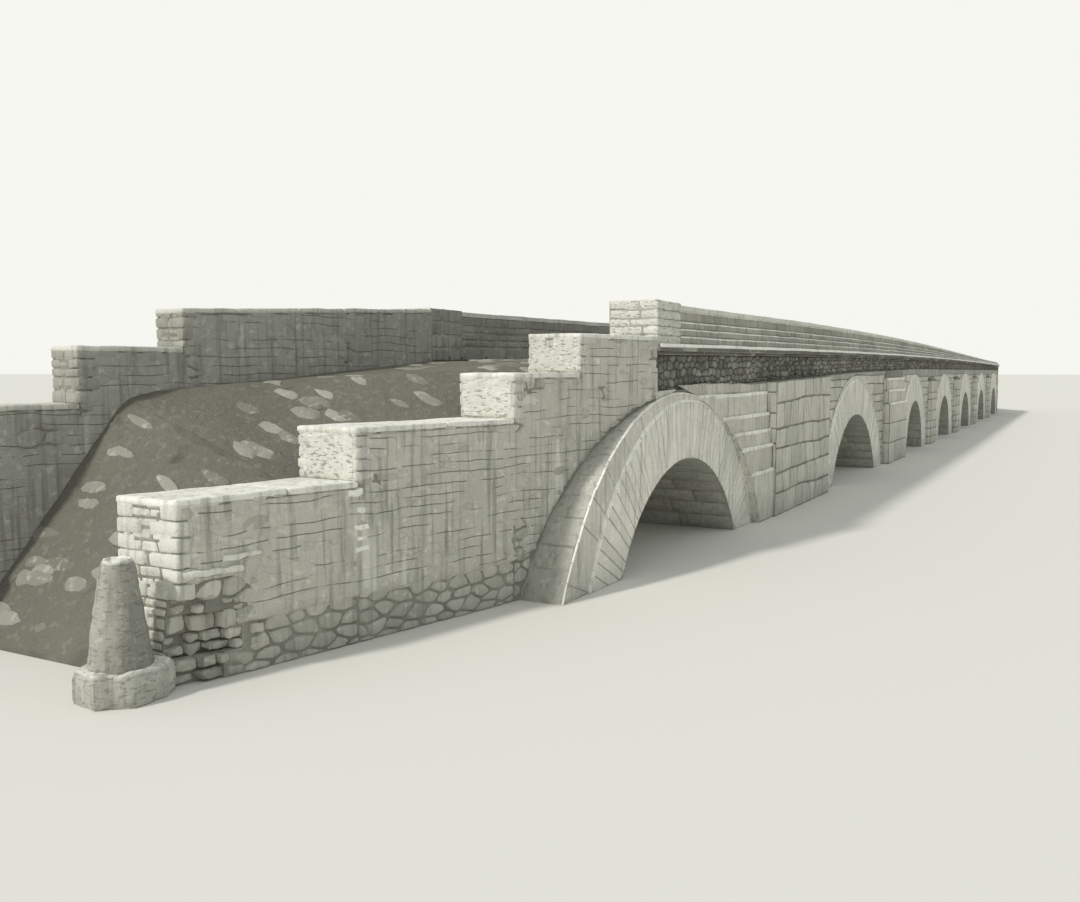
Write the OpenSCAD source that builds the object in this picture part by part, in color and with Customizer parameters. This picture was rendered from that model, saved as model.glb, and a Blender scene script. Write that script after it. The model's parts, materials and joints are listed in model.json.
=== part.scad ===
// Stone arch bridge with seven arches, a scale model at half size.
// Millimetres. +X runs along the bridge from the near end to the far end, -Y is its right side
// and +Z is up. The masonry stands on z = 0, and the origin is the foot of the third pier.
// Stations are measured along X from the near end of the parapets.

/* [Arches] */
// Span of the first arch
span_1 = 2285; // [2100:5:2400]
// Rise of the first arch
rise_1 = 685; // [620:5:700]
// Span of the second arch
span_2 = 2550; // [2300:5:2650]
// Rise of the second arch
rise_2 = 780; // [700:5:820]
// Span of each of the five smaller arches
span_small = 1650; // [1500:5:1700]
// Depth of the arch stones, from the inner curve to the outer one
ring_depth = 425; // [380:5:430]
// Height of the backing course over the crown of the first arch
band_crown = 64; // [50:1:70]
// Width of that backing course at its near foot
band_foot = 350; // [250:5:400]
// Width of it at its other foot
band_heel = 50; // [30:5:80]
// Depth of the thin hood over the second arch
hood_depth = 60; // [40:5:80]

/* [Spacing] */
// From the near end of the parapets to the middle of the first arch
near_run = 575; // [500:5:650]
// From the first arch to the second, between their middles
bay_1 = 6025; // [5800:5:6300]
// From the second arch to the third
bay_2 = 4825; // [4700:5:5000]
// Between the smaller arches
bay_small = 3850; // [3700:5:4000]
// From the middle of the last arch to the far end of the parapets
far_run = 1575; // [1400:5:1700]

/* [Widths] */
// Width of the roadway between the parapets
road_w = 1500; // [1300:10:1700]
// Thickness of the parapets and the right wing walls
wall_t = 350; // [300:5:400]
// Thickness of the left wing walls
left_wall_t = 200; // [180:5:300]
// Depth of the recess of the upper wall, behind the plane of the wing walls
recess = 50; // [30:5:70]
// Set-back of the pier faces behind that plane
pier_setback = 10; // [5:1:20]
// How far the arch stones stand out from that plane
ring_proud = 10; // [5:1:20]

/* [Heights] */
// Top of the lower masonry at the first arch
ledge_near = 1190; // [1180:5:1200]
// Top of the lower masonry at the second arch
ledge_second = 1310; // [1290:5:1330]
// Top of the lower masonry at the smaller arches
ledge_small = 1360; // [1340:5:1380]
// Top of the cornice at the near end
cornice_near = 1510; // [1500:5:1530]
// Top of the cornice over the third pier, its highest point
cornice_crest = 1585; // [1570:5:1600]
// Top of the cornice at the far end
cornice_far = 1520; // [1510:5:1540]
// From the top of the cornice down to the road
road_drop = 110; // [90:5:120]
// Thickness of the paving on the approach ramps
paving_t = 100; // [60:5:110]

/* [Cornice and parapet] */
// Thickness of the upper course of the cornice
cornice_t = 50; // [40:1:60]
// Thickness of the lower course of the cornice
cornice_bed_t = 25; // [20:1:30]
// How far the cornice stands out from the upper wall
cornice_out = 80; // [60:5:100]
// Height of the parapet over the near arches
parapet_h = 275; // [240:5:300]
// Height to which the parapet falls at the far end
parapet_h_far = 75; // [60:5:110]
// How far each parapet course stands back from the one below
course_step = 14; // [10:1:18]
// How far the coping stands out from the course below
coping_out = 12; // [8:1:16]
// Length of the block that ends each parapet at the near end
block_l = 430; // [350:5:500]
// Height of that block above the parapet
block_rise = 18; // [10:1:30]

/* [Buttresses] */
// Projection of the buttress of the first pier
buttress_1_out = 110; // [90:1:120]
// Length of its flat face
buttress_1_l = 2110; // [1900:10:2150]
// Projection of the buttress of the second pier at its foot
buttress_2_out = 100; // [80:1:110]
// Length of the buttress of the second pier
buttress_2_l = 1470; // [1300:10:1500]
// Projection of the buttresses of the other piers
buttress_small_out = 70; // [50:1:90]
// Length of each of them
buttress_small_l = 700; // [600:10:800]
// Height at which their sloping tops begin
buttress_small_h = 1150; // [1000:10:1200]

/* [Approaches] */
// Length of the wing walls along the bridge
wing_l = 3480; // [3300:10:3600]
// Angle by which both approaches turn towards the left side
wing_turn = 11.3; // [8:0.1:13]
// Length of the straight start of the left wing wall
left_straight = 1500; // [1450:10:1600]
// Lengths of the upper three steps of the right wing wall
step_l_1 = 827; // [700:1:900]
step_l_2 = 600; // [500:1:700]
step_l_3 = 1125; // [1000:5:1200]
// Tops of the four steps of the right wing wall, from the highest
step_z_1 = 1553; // [1540:1:1570]
step_z_2 = 1310; // [1290:5:1330]
step_z_3 = 1050; // [1030:5:1070]
step_z_4 = 790; // [770:5:810]
// Length of the long upper part of the left wing wall
left_l_1 = 2260; // [2100:10:2400]
// Length of its middle step
left_l_2 = 600; // [500:10:700]
// Fall of the top of its upper part
left_fall = 110; // [80:5:140]
// Top of its middle step
left_z_2 = 1456; // [1440:1:1480]
// Top of its lowest step
left_z_3 = 1150; // [1130:5:1170]
// Length of the gently falling part of the ramps
ramp_l = 2600; // [2500:10:2700]
// Height of the ramp at the end of that part, along the left wing wall
ramp_left_z = 1200; // [1150:10:1230]
// Height of it there along the right wing wall
ramp_right_z = 740; // [700:5:770]
// Angle by which the right part of the ramps tilts
ramp_bank = 20; // [14:0.5:21]

/* [Guard stones] */
// Height of the top of the guard stones
guard_z = 571; // [500:1:600]
// Radius of a guard stone at its foot
guard_r = 133; // [120:1:140]
// Radius at its top
guard_top_r = 66; // [55:1:75]
// Depth of the worn dish in its top
guard_dish = 10; // [5:1:20]
// Height of the rough stone below it
footing_h = 150; // [100:5:180]
// Radius of that rough stone
footing_r = 190; // [180:1:200]
// From the outer face of the wing wall to the same axis
guard_in = 130; // [100:5:175]

/* [Hidden] */
$fn = 96;

stone_light = "#d9d5bd";
stone_mid = "#b9b59b";
stone_dark = "#77745f";

// Arch numbers run from 0 here, so arch 0 is the piece arch_1
arch_count = 7;
first_small = 2;
centres = concat(
    [near_run, near_run + bay_1],
    [for (i = [0:arch_count - first_small - 1]) near_run + bay_1 + bay_2 + i * bay_small]
);
length = centres[arch_count - 1] + far_run;
origin_arch = 2;
origin_station = (centres[origin_arch] + centres[origin_arch + 1]) / 2;

function half_span(i) = (i == 0 ? span_1 : i == 1 ? span_2 : span_small) / 2;
function rise(i) = i == 0 ? rise_1 : i == 1 ? rise_2 : span_small / 2;
// Radius of the circle through both feet and the crown of a segment
function radius_of(half, height) = (half * half + height * height) / (2 * height);
function arch_r(i) = radius_of(half_span(i), rise(i));
function arch_z(i) = rise(i) - arch_r(i);
function ring_r(i) = arch_r(i) + ring_depth;
// Half the width of the outer curve of an arch at the foot
function ring_foot(i) = sqrt(pow(ring_r(i), 2) - pow(arch_z(i), 2));

// The backing course of the first arch is eccentric, deeper at its near foot
band_half = ring_foot(0) + (band_foot + band_heel) / 2;
band_station = centres[0] - (band_foot - band_heel) / 2;
band_height = rise_1 + ring_depth + band_crown;
band_r = radius_of(band_half, band_height);
band_z = band_height - band_r;

// Planes of the right and left faces, as distances from the centre line
road_half = road_w / 2;
face = road_half + wall_t;
pier_face = face - pier_setback;
ring_face = face + ring_proud;
upper_face = face - recess;
cornice_face = upper_face + cornice_out;
parapet_face = cornice_face - cornice_bed_t;

// Everything that is cut away reaches this far past the masonry
spare = 200;
tall = 2 * cornice_crest;

// Stations at which the long lines of the bridge bend
stations = concat(
    [0],
    [for (i = [0:arch_count - 1], mid = [0:1])
        if (i < arch_count - 1 || mid == 0)
            mid == 0 ? centres[i] : (centres[i] + centres[i + 1]) / 2],
    [length]
);

function ledge(s) = lookup(s, [
    [0, ledge_near],
    [centres[0], ledge_near],
    [centres[1], ledge_second],
    [centres[2], ledge_small],
    [length, ledge_small]
]);
// The cornice rises and falls on two parabolas that meet over the third pier
function cornice(s) =
    s < origin_station
        ? cornice_crest - (cornice_crest - cornice_near) * pow(1 - s / origin_station, 2)
        : cornice_crest - (cornice_crest - cornice_far)
            * pow((s - origin_station) / (length - origin_station), 2);
function road(s) = cornice(s) - road_drop;
// The parapet keeps its height over the near arch and then dies down towards the far end
fall_start = near_run + bay_1 / 3;
function parapet_height(s) =
    parapet_h_far + (parapet_h - parapet_h_far)
        * (1 + cos(180 * max(0, s - fall_start) / (length - fall_start))) / 2;
// Edges of the four parapet courses as shares of its height, and the coping over them
course_edges = [0, 0.2, 0.4, 0.6, 0.89];
course_count = len(course_edges) - 1;
function parapet_line(s, share) = cornice(s) + parapet_height(s) * share;

turn_slope = tan(wing_turn);

module place() {
    translate([-origin_station, 0, 0]) children();
}

// The near end is drawn at its place, and the far end is its mirror image
module at_far_end() {
    translate([length, 0, 0]) mirror([1, 0, 0]) children();
}

// Pieces of the left side, mirrored to the right side
module on_right() {
    mirror([0, 1, 0]) children();
}

// Extrudes an outline drawn in elevation, from y0 to y1
module elevation(y0, y1) {
    translate([0, y1, 0]) rotate([90, 0, 0]) linear_extrude(y1 - y0) children();
}

// A round bar along Y, through both faces
module barrel(station, z, r, half) {
    translate([station, half, z]) rotate([90, 0, 0]) cylinder(r = r, h = 2 * half);
}

module above_ground(half) {
    translate([-wing_l - spare, -half, 0]) cube([length + 2 * (wing_l + spare), 2 * half, tall]);
}

// Everything inside the outer curve of one arch, its backing course or hood included
module arch_space(i) {
    barrel(centres[i], arch_z(i), ring_r(i), ring_face + spare);
    if (i == 0) barrel(band_station, band_z, band_r, ring_face + spare);
    if (i == 1) barrel(centres[i], arch_z(i), ring_r(i) + hood_depth, ring_face + spare);
}

// A strip in elevation between two lines, which are given as functions of the station
module strip(low, high, from = 0, to = length) {
    inside = [for (s = stations) if (s > from && s < to) s];
    run = concat([from], inside, [to]);
    polygon(concat(
        [for (s = run) [s, low(s)]],
        [for (k = [len(run) - 1:-1:0]) [run[k], high(run[k])]]
    ));
}

// The vault of one arch, through the whole width of the bridge
module arch(i) {
    color(stone_light) place()
        difference() {
            intersection() {
                barrel(centres[i], arch_z(i), ring_r(i), ring_face);
                above_ground(ring_face + spare);
            }
            barrel(centres[i], arch_z(i), arch_r(i), ring_face + spare);
        }
}

// The backing course on the first vault
module arch_band_1() {
    color(stone_mid) place()
        difference() {
            intersection() {
                barrel(band_station, band_z, band_r, face);
                above_ground(face + spare);
            }
            barrel(centres[0], arch_z(0), ring_r(0), face + spare);
        }
}

// The hood on the second vault
module arch_band_2() {
    color(stone_mid) place()
        difference() {
            intersection() {
                barrel(centres[1], arch_z(1), ring_r(1) + hood_depth, face);
                above_ground(face + spare);
            }
            barrel(centres[1], arch_z(1), ring_r(1), face + spare);
        }
}

// A pier with the masonry over it, from the crown of one arch to the crown of the next
module pier(i) {
    color(stone_mid) place()
        difference() {
            elevation(-pier_face, pier_face)
                strip(function(s) 0, function(s) ledge(s), centres[i], centres[i + 1]);
            arch_space(i);
            arch_space(i + 1);
        }
}

// The flat ashlar face of the first pier, and the courses that step out beside it
ashlar_courses = [1133, 945, 803, 668, 444];
module buttress_1_half() {
    flat_end = centres[1] - ring_foot(1) - hood_depth - spare / 4;
    flat_start = flat_end - buttress_1_l;
    elevation(pier_face, pier_face + buttress_1_out)
        strip(function(s) 0, function(s) ledge(s), flat_start, flat_end);
    difference() {
        for (k = [0:len(ashlar_courses) - 1])
            elevation(pier_face, pier_face + buttress_1_out * (k + 1) / (len(ashlar_courses) + 1))
                translate([centres[0], 0]) square([flat_start - centres[0], ashlar_courses[k]]);
        arch_space(0);
    }
}

// The buttress of the second pier: courses that step out, under a rounded top
buttress_2_courses = [1218, 1050, 866];
buttress_2_round = 260;
module buttress_2_half() {
    middle = (centres[1] + ring_foot(1) + hood_depth + centres[2] - ring_foot(2)) / 2;
    start = middle - buttress_2_l / 2;
    top = ledge(start);
    step_out = buttress_2_out / (len(buttress_2_courses) + 1);
    elevation(pier_face, pier_face + step_out) {
        translate([start, 0]) square([buttress_2_l, top - buttress_2_round]);
        translate([start + buttress_2_round, 0]) square([buttress_2_l - buttress_2_round, top]);
        translate([start + buttress_2_round, top - buttress_2_round]) circle(buttress_2_round);
    }
    for (k = [0:len(buttress_2_courses) - 1])
        elevation(pier_face, pier_face + step_out * (k + 2))
            translate([start, 0]) square([buttress_2_l, buttress_2_courses[k]]);
}

// The plain buttress of a pier between two small arches, with a sloping top
module buttress_small_half(i) {
    middle = (centres[i] + centres[i + 1]) / 2;
    translate([middle - buttress_small_l / 2, pier_face, 0])
        rotate([90, 0, 90]) linear_extrude(buttress_small_l)
            polygon([
                [0, 0],
                [buttress_small_out, 0],
                [buttress_small_out, buttress_small_h],
                [0, buttress_small_h + buttress_small_out]
            ]);
}

module buttress_half(i) {
    if (i == 0) buttress_1_half();
    if (i == 1) buttress_2_half();
    if (i > 1) buttress_small_half(i);
}

module buttress(i) {
    color(stone_mid) place() {
        buttress_half(i);
        on_right() buttress_half(i);
    }
}

// The recessed wall between the lower masonry and the cornice
module upper_wall() {
    color(stone_dark) place()
        elevation(road_half, upper_face)
            strip(function(s) ledge(s), function(s) cornice(s) - cornice_t - cornice_bed_t);
}

// The fill over the vaults, with the road on top
module roadway() {
    color(stone_mid) place()
        elevation(-road_half, road_half)
            strip(function(s) ledge(s), function(s) road(s));
}

module cornice_side() {
    color(stone_light) place() {
        elevation(road_half, parapet_face)
            strip(function(s) cornice(s) - cornice_t - cornice_bed_t, function(s) cornice(s) - cornice_t);
        elevation(road_half, cornice_face)
            strip(function(s) cornice(s) - cornice_t, function(s) cornice(s));
    }
}

// Four courses, each one standing back from the one below
module parapet() {
    color(stone_mid) place()
        for (k = [0:course_count - 1])
            elevation(road_half, parapet_face - k * course_step)
                strip(
                    function(s) parapet_line(s, course_edges[k]),
                    function(s) parapet_line(s, course_edges[k + 1]),
                    block_l
                );
}

module coping() {
    color(stone_light) place()
        elevation(road_half, parapet_face - (course_count - 1) * course_step + coping_out)
            strip(
                function(s) parapet_line(s, course_edges[course_count]),
                function(s) parapet_line(s, 1),
                block_l
            );
}

// The block of dressed stones that ends the parapet
module end_block() {
    color(stone_light) place()
        elevation(road_half, parapet_face)
            strip(
                function(s) cornice(s),
                function(s) parapet_line(0, 1) + block_rise,
                0,
                block_l
            );
}

// Plans of the wing walls and of the ground between them, with the tips at -X
right_tip = -face + wing_l * turn_slope;
left_face = road_half + left_wall_t;
left_tip = left_face + (wing_l - left_straight) * turn_slope;
right_plan = [
    [0, -face],
    [0, -road_half],
    [-wing_l, right_tip + wall_t],
    [-wing_l, right_tip]
];
left_plan = [
    [0, left_face],
    [-left_straight, left_face],
    [-wing_l, left_tip],
    [-wing_l, left_tip - left_wall_t],
    [-left_straight, road_half],
    [0, road_half]
];
middle_plan = [
    [0, -road_half],
    [0, road_half],
    [-left_straight, road_half],
    [-wing_l, left_tip - left_wall_t],
    [-wing_l, right_tip + wall_t]
];

module wall_on_plan(plan) {
    intersection() {
        linear_extrude(tall) polygon(plan);
        elevation(-tall, tall) children();
    }
}

module right_profile() {
    ends = [0, step_l_1, step_l_1 + step_l_2, step_l_1 + step_l_2 + step_l_3, wing_l];
    tops = [step_z_1, step_z_2, step_z_3, step_z_4];
    for (k = [0:len(tops) - 1])
        translate([-ends[k + 1], 0]) square([ends[k + 1], tops[k]]);
}

module left_profile(start_z) {
    polygon([
        [0, 0],
        [0, start_z],
        [-left_l_1, start_z - left_fall],
        [-left_l_1, left_z_2],
        [-left_l_1 - left_l_2, left_z_2],
        [-left_l_1 - left_l_2, left_z_3],
        [-wing_l, left_z_3],
        [-wing_l, 0]
    ]);
}

// Places of the stones that have fallen from the foot of the near corner of the right wing
// wall, as [bottom, top, length along the wall, depth into it]
fallen = [
    [0, 115, 200, 60],
    [115, 215, 290, 105],
    [215, 300, 220, 85],
    [300, 395, 120, 70]
];
module fallen_stones() {
    for (f = fallen)
        translate([-wing_l, right_tip, f[0]])
            linear_extrude(f[1] - f[0])
                polygon([
                    [-spare, -spare],
                    [f[2], -spare],
                    [f[2], 0],
                    [f[2] / 2, f[3] * 2 / 3],
                    [0, f[3]],
                    [-spare, f[3]]
                ]);
}

module wing_near_right() {
    color(stone_light) place()
        difference() {
            wall_on_plan(right_plan) right_profile();
            arch_space(0);
            fallen_stones();
        }
}

module wing_near_left() {
    color(stone_light) place()
        difference() {
            wall_on_plan(left_plan) left_profile(parapet_line(0, 1));
            arch_space(0);
        }
}

module wing_far_right() {
    color(stone_light) place() at_far_end() wall_on_plan(right_plan) right_profile();
}

module wing_far_left() {
    color(stone_light) place() at_far_end() wall_on_plan(left_plan) left_profile(parapet_line(length, 1));
}

// Everything below the surface of a ramp, which is level across beside the left wing wall and
// tilts down to the right one. drop lowers the whole of it.
module ramp_space(drop) {
    tilted = function(run, z) (z - drop - tan(ramp_bank) * turn_slope * run) * cos(ramp_bank);
    intersection() {
        elevation(-tall, tall)
            polygon([
                [0, -tall],
                [0, road(0) - drop],
                [-ramp_l, ramp_left_z - drop],
                [-wing_l, -drop],
                [-wing_l, -tall]
            ]);
        translate([0, -road_half, 0])
            rotate([ramp_bank, 0, 0])
                elevation(-tall, tall)
                    polygon([
                        [0, -tall],
                        [0, tilted(0, road(0))],
                        [-ramp_l, tilted(ramp_l, ramp_right_z)],
                        [-wing_l, tilted(wing_l, 0)],
                        [-wing_l, -tall]
                    ]);
    }
}

module on_middle_plan() {
    intersection() {
        linear_extrude(tall) polygon(middle_plan);
        children();
    }
}

module abutment_near() {
    color(stone_mid) place()
        difference() {
            union() {
                on_middle_plan() ramp_space(paving_t);
                elevation(-pier_face, pier_face)
                    strip(function(s) 0, function(s) ledge(s), 0, centres[0]);
            }
            arch_space(0);
        }
}

module abutment_far() {
    color(stone_mid) place()
        difference() {
            union() {
                at_far_end() on_middle_plan() ramp_space(paving_t);
                elevation(-pier_face, pier_face)
                    strip(function(s) 0, function(s) ledge(s), centres[arch_count - 1], length);
            }
            arch_space(arch_count - 1);
        }
}

module ramp_paving() {
    difference() {
        on_middle_plan() ramp_space(0);
        ramp_space(paving_t);
    }
}

// A conical stone that keeps wheels off the end of the wall, on a rough footing stone
// whose flat side lies against the end of the wall
footing_corners = [
    [1, -0.6],
    [1, 0.45],
    [0.6, 0.86],
    [-0.1, 0.98],
    [-0.8, 0.6],
    [-0.96, -0.3],
    [-0.35, -0.9],
    [0.5, -0.88]
];
module guard_stone(tip_y, inward) {
    color(stone_light)
        translate([-wing_l - footing_r, tip_y + inward * guard_in, 0]) {
            linear_extrude(footing_h) polygon(footing_corners * footing_r);
            translate([0, 0, footing_h])
                rotate_extrude()
                    polygon([
                        [0, 0],
                        [guard_r, 0],
                        [guard_top_r, guard_z - footing_h],
                        [guard_top_r * 0.7, guard_z - footing_h - guard_dish],
                        [0, guard_z - footing_h - guard_dish]
                    ]);
        }
}

abutment_near();
abutment_far();
for (i = [0:arch_count - 2])
    pier(i);
for (i = [0:arch_count - 2])
    buttress(i);
for (i = [0:arch_count - 1])
    arch(i);
arch_band_1();
arch_band_2();
on_right() upper_wall();  // upper_wall_right
upper_wall();  // upper_wall_left
roadway();
on_right() cornice_side();  // cornice_right
cornice_side();  // cornice_left
on_right() parapet();  // parapet_right
parapet();  // parapet_left
on_right() coping();  // coping_right
coping();  // coping_left
on_right() end_block();  // end_block_right
end_block();  // end_block_left
wing_near_right();
wing_near_left();
wing_far_right();
wing_far_left();
color(stone_mid) place() ramp_paving();  // ramp_near
color(stone_mid) place() at_far_end() ramp_paving();  // ramp_far
place() guard_stone(right_tip, 1);  // guard_stone_near_right
place() guard_stone(left_tip, -1);  // guard_stone_near_left
place() at_far_end() guard_stone(right_tip, 1);  // guard_stone_far_right
place() at_far_end() guard_stone(left_tip, -1);  // guard_stone_far_left
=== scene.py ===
# Looks of the stone arch bridge. Metres, in the frame of the construction model: +X runs from the
# near end to the far end, -Y is the right side, and z = 0 is the foot of the piers.
import json
import math
from itertools import pairwise, product

import bmesh
import bpy
import numpy as np
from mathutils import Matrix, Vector


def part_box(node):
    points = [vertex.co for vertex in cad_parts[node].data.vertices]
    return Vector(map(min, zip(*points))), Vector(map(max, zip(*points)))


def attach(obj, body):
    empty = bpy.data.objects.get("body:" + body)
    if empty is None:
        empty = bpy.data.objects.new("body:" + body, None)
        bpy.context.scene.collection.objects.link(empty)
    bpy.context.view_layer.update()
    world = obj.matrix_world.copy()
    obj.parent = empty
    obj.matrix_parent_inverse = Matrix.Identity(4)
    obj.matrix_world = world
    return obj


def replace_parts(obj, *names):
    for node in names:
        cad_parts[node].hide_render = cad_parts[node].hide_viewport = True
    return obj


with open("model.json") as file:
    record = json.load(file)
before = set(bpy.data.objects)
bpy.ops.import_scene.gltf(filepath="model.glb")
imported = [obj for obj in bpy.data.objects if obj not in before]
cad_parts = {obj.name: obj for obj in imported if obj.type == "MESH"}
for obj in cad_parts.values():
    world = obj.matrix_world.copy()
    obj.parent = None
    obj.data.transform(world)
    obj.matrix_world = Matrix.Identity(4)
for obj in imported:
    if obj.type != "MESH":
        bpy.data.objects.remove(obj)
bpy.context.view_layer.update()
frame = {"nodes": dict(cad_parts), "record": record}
nodes = frame["nodes"]

# Driving sizes, as in the construction model
SPANS = [2.285, 2.550] + [1.650] * 5
RISES = [0.685, 0.780] + [0.825] * 5
RING_DEPTH = 0.425
HOOD_DEPTH = 0.060
BAND_CROWN = 0.064
BAND_FOOT = 0.350
BAND_HEEL = 0.050
ROAD_HALF = 0.750
WALL_T = 0.350
LEFT_WALL_T = 0.200
FACE = ROAD_HALF + WALL_T
LEFT_FACE = ROAD_HALF + LEFT_WALL_T
PIER_FACE = FACE - 0.010
RING_FACE = FACE + 0.010
UPPER_FACE = FACE - 0.050
CORNICE_FACE = UPPER_FACE + 0.080
PARAPET_FACE = CORNICE_FACE - 0.025
CORNICE_T = 0.050
CORNICE_BED_T = 0.025
COURSE_STEP = 0.014
COPING_OUT = 0.012
COURSE_EDGES = [0, 0.2, 0.4, 0.6, 0.89]
WING_L = 3.480
TURN_SLOPE = math.tan(math.radians(11.3))
LEFT_STRAIGHT = 1.500
RIGHT_ENDS = [0, 0.827, 1.427, 2.552, WING_L]
RIGHT_TOPS = [1.553, 1.310, 1.050, 0.790]
LEFT_ENDS = [0, 2.260, 2.860, WING_L]
LEFT_TOPS = [1.456, 1.150]
LEFT_FALL = 0.110
RAMP_L = 2.600
RAMP_LEFT_Z = 1.200
RAMP_RIGHT_Z = 0.740
RAMP_BANK = math.tan(math.radians(20))
ASHLAR_COURSES = [0.444, 0.668, 0.803, 0.945, 1.133]
ASHLAR_JOINTS = [0.20, 0.40, 0.62, 0.80]
BUTTRESS_1_OUT = 0.110
BUTTRESS_1_L = 2.110
BUTTRESS_2_OUT = 0.100
BUTTRESS_2_COURSES = [0.866, 1.050, 1.218]
BUTTRESS_SMALL_H = 1.150
BUTTRESS_SMALL_OUT = 0.070
# Stones fallen from the foot of the near corner, as (bottom, top, length, depth)
FALLEN = [(0, 0.115, 0.200, 0.060), (0.115, 0.215, 0.290, 0.105), (0.215, 0.300, 0.220, 0.085),
          (0.300, 0.395, 0.120, 0.070)]

ARCHES = range(7)
near_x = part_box("upper_wall_right")[0][0]
far_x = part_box("upper_wall_right")[1][0]
centres = [sum(corner[0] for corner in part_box(f"arch_{i + 1}")) / 2 for i in ARCHES]


def radius_of(half, height):
    """Radius of the circle through both feet and the crown of a segment."""
    return (half * half + height * height) / (2 * height)


arch_r = [radius_of(SPANS[i] / 2, RISES[i]) for i in ARCHES]
arch_z = [RISES[i] - arch_r[i] for i in ARCHES]
ring_r = [arch_r[i] + RING_DEPTH for i in ARCHES]
ring_foot = [math.sqrt(ring_r[i] ** 2 - arch_z[i] ** 2) for i in ARCHES]

band_half = ring_foot[0] + (BAND_FOOT + BAND_HEEL) / 2
band_x = centres[0] - (BAND_FOOT - BAND_HEEL) / 2
band_height = RISES[0] + RING_DEPTH + BAND_CROWN
band_r = radius_of(band_half, band_height)
band_z = band_height - band_r


def outer_circle(i):
    """Centre and radius of the outer curve of an arch, its backing course or hood included."""
    if i == 0:
        return band_x, band_z, band_r
    return centres[i], arch_z[i], ring_r[i] + (HOOD_DEPTH if i == 1 else 0)


def node_line(node, pick):
    """The top or bottom line of a long node as a function of x, read from its vertices."""
    points = {}
    for vertex in nodes[node].data.vertices:
        points.setdefault(round(vertex.co.x, 4), []).append(vertex.co.z)
    xs = sorted(points)
    zs = [pick(points[x]) for x in xs]
    return lambda x: np.interp(x, xs, zs)


ledge = node_line("upper_wall_right", min)
cornice = node_line("cornice_right", max)
road = node_line("roadway", max)
parapet_top = node_line("coping_right", max)
block_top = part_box("end_block_right")[1][2]
block_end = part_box("end_block_right")[1][0]


def parapet_line(share):
    """A line between the cornice and the top of the coping."""
    return lambda x: cornice(x) + (parapet_top(x) - cornice(x)) * share


# Noise and patterns


def value_noise(points, scale, seed):
    """Smooth noise between -1 and 1 at each point."""
    cell = np.floor(points * scale).astype(np.int64)
    part = points * scale - cell
    part = part * part * (3 - 2 * part)
    total = np.zeros(len(points))
    for corner in product((0, 1), repeat=3):
        at = cell + np.array(corner)
        key = (at[:, 0] * 73856093) ^ (at[:, 1] * 19349663) ^ (at[:, 2] * 83492791) ^ (seed * 7919)
        key = ((key & 0xFFFFFFFF) * 1103515245 + 12345) & 0xFFFFFFFF
        key = ((key ^ (key >> 15)) * 2246822519) & 0xFFFFFFFF
        key = key ^ (key >> 13)
        total += (key / 0xFFFFFFFF * 2 - 1) * np.prod(np.where(corner, part, 1 - part), axis=1)
    return total


def plane_noise(a, b, scale, seed):
    """Noise over a face, for coordinates a and b of any shape."""
    a, b = np.broadcast_arrays(np.asarray(a, float), np.asarray(b, float))
    points = np.stack([a.ravel(), b.ravel(), np.full(a.size, 0.37)], axis=-1)
    return value_noise(points, scale, seed).reshape(a.shape)


def polygon_sides(polygon):
    """The two ends of each side of a polygon, which is a list."""
    return zip(polygon[-1:] + polygon[:-1], polygon)


def clip(polygon, nx, ny, limit):
    """The part of a convex polygon where nx * x + ny * y is at most limit."""
    kept = []
    for (x0, y0), (x1, y1) in polygon_sides(polygon):
        d0, d1 = nx * x0 + ny * y0 - limit, nx * x1 + ny * y1 - limit
        if (d0 <= 0) != (d1 <= 0):
            t = d0 / (d0 - d1)
            kept.append((x0 + (x1 - x0) * t, y0 + (y1 - y0) * t))
        if d1 <= 0:
            kept.append((x1, y1))
    return kept


def shrink(polygon, amount):
    """A convex polygon, anticlockwise, whose sides are moved inwards."""
    result = polygon
    for (x0, y0), (x1, y1) in polygon_sides(polygon):
        length = math.hypot(x1 - x0, y1 - y0)
        if length > 1e-6:
            nx, ny = (y1 - y0) / length, -(x1 - x0) / length
            result = clip(result, nx, ny, nx * x0 + ny * y0 - amount)
    return result


def area(polygon):
    """Area of a polygon, anticlockwise."""
    return sum(x0 * y1 - x1 * y0 for (x0, y0), (x1, y1) in polygon_sides(polygon)) / 2


def rounded(polygon, step, soft=0.15):
    """The outline as points no further apart than step, with soft corners."""
    points = []
    for first, last in polygon_sides([np.array(corner) for corner in polygon]):
        parts = max(1, math.ceil(np.linalg.norm(last - first) / step))
        points += [first + (last - first) * j / parts for j in range(parts)]
    points = np.array(points)
    return (1 - 2 * soft) * points + soft * (np.roll(points, 1, 0) + np.roll(points, -1, 0))


def rubble_cells(rng, low, high, pitch, row):
    """Polygons of rough walling over a rectangle, about pitch long and row high."""
    stretch = pitch / row
    jitter = 0.36
    rows = math.ceil((high[1] - low[1]) / row) + 2
    columns = math.ceil((high[0] - low[0]) / pitch) + 2
    seeds = {}
    for r, c in product(range(-2, rows + 2), range(-2, columns + 2)):
        x = low[0] + (c + 0.5 * (r % 2) + rng.uniform(-jitter, jitter)) * pitch
        seeds[r, c] = (x, (low[1] + (r + rng.uniform(-jitter, jitter)) * row) * stretch)
    around = [(i, j) for i in range(-2, 3) for j in range(-2, 3) if i or j]
    cells = []
    for r, c in product(range(rows), range(columns)):
        x, y = seeds[r, c]
        cell = [(x + i * pitch, y + j * pitch) for i, j in ((-1, -1), (1, -1), (1, 1), (-1, 1))]
        for i, j in around:
            u, v = seeds[r + i, c + j]
            cell = clip(cell, u - x, v - y, (u * u + v * v - x * x - y * y) / 2)
        cells.append([(p, q / stretch) for p, q in cell])
    return cells


# Stones

# How deep the back of a stone or a coat lies in the wall
SINK = 0.004


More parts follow.
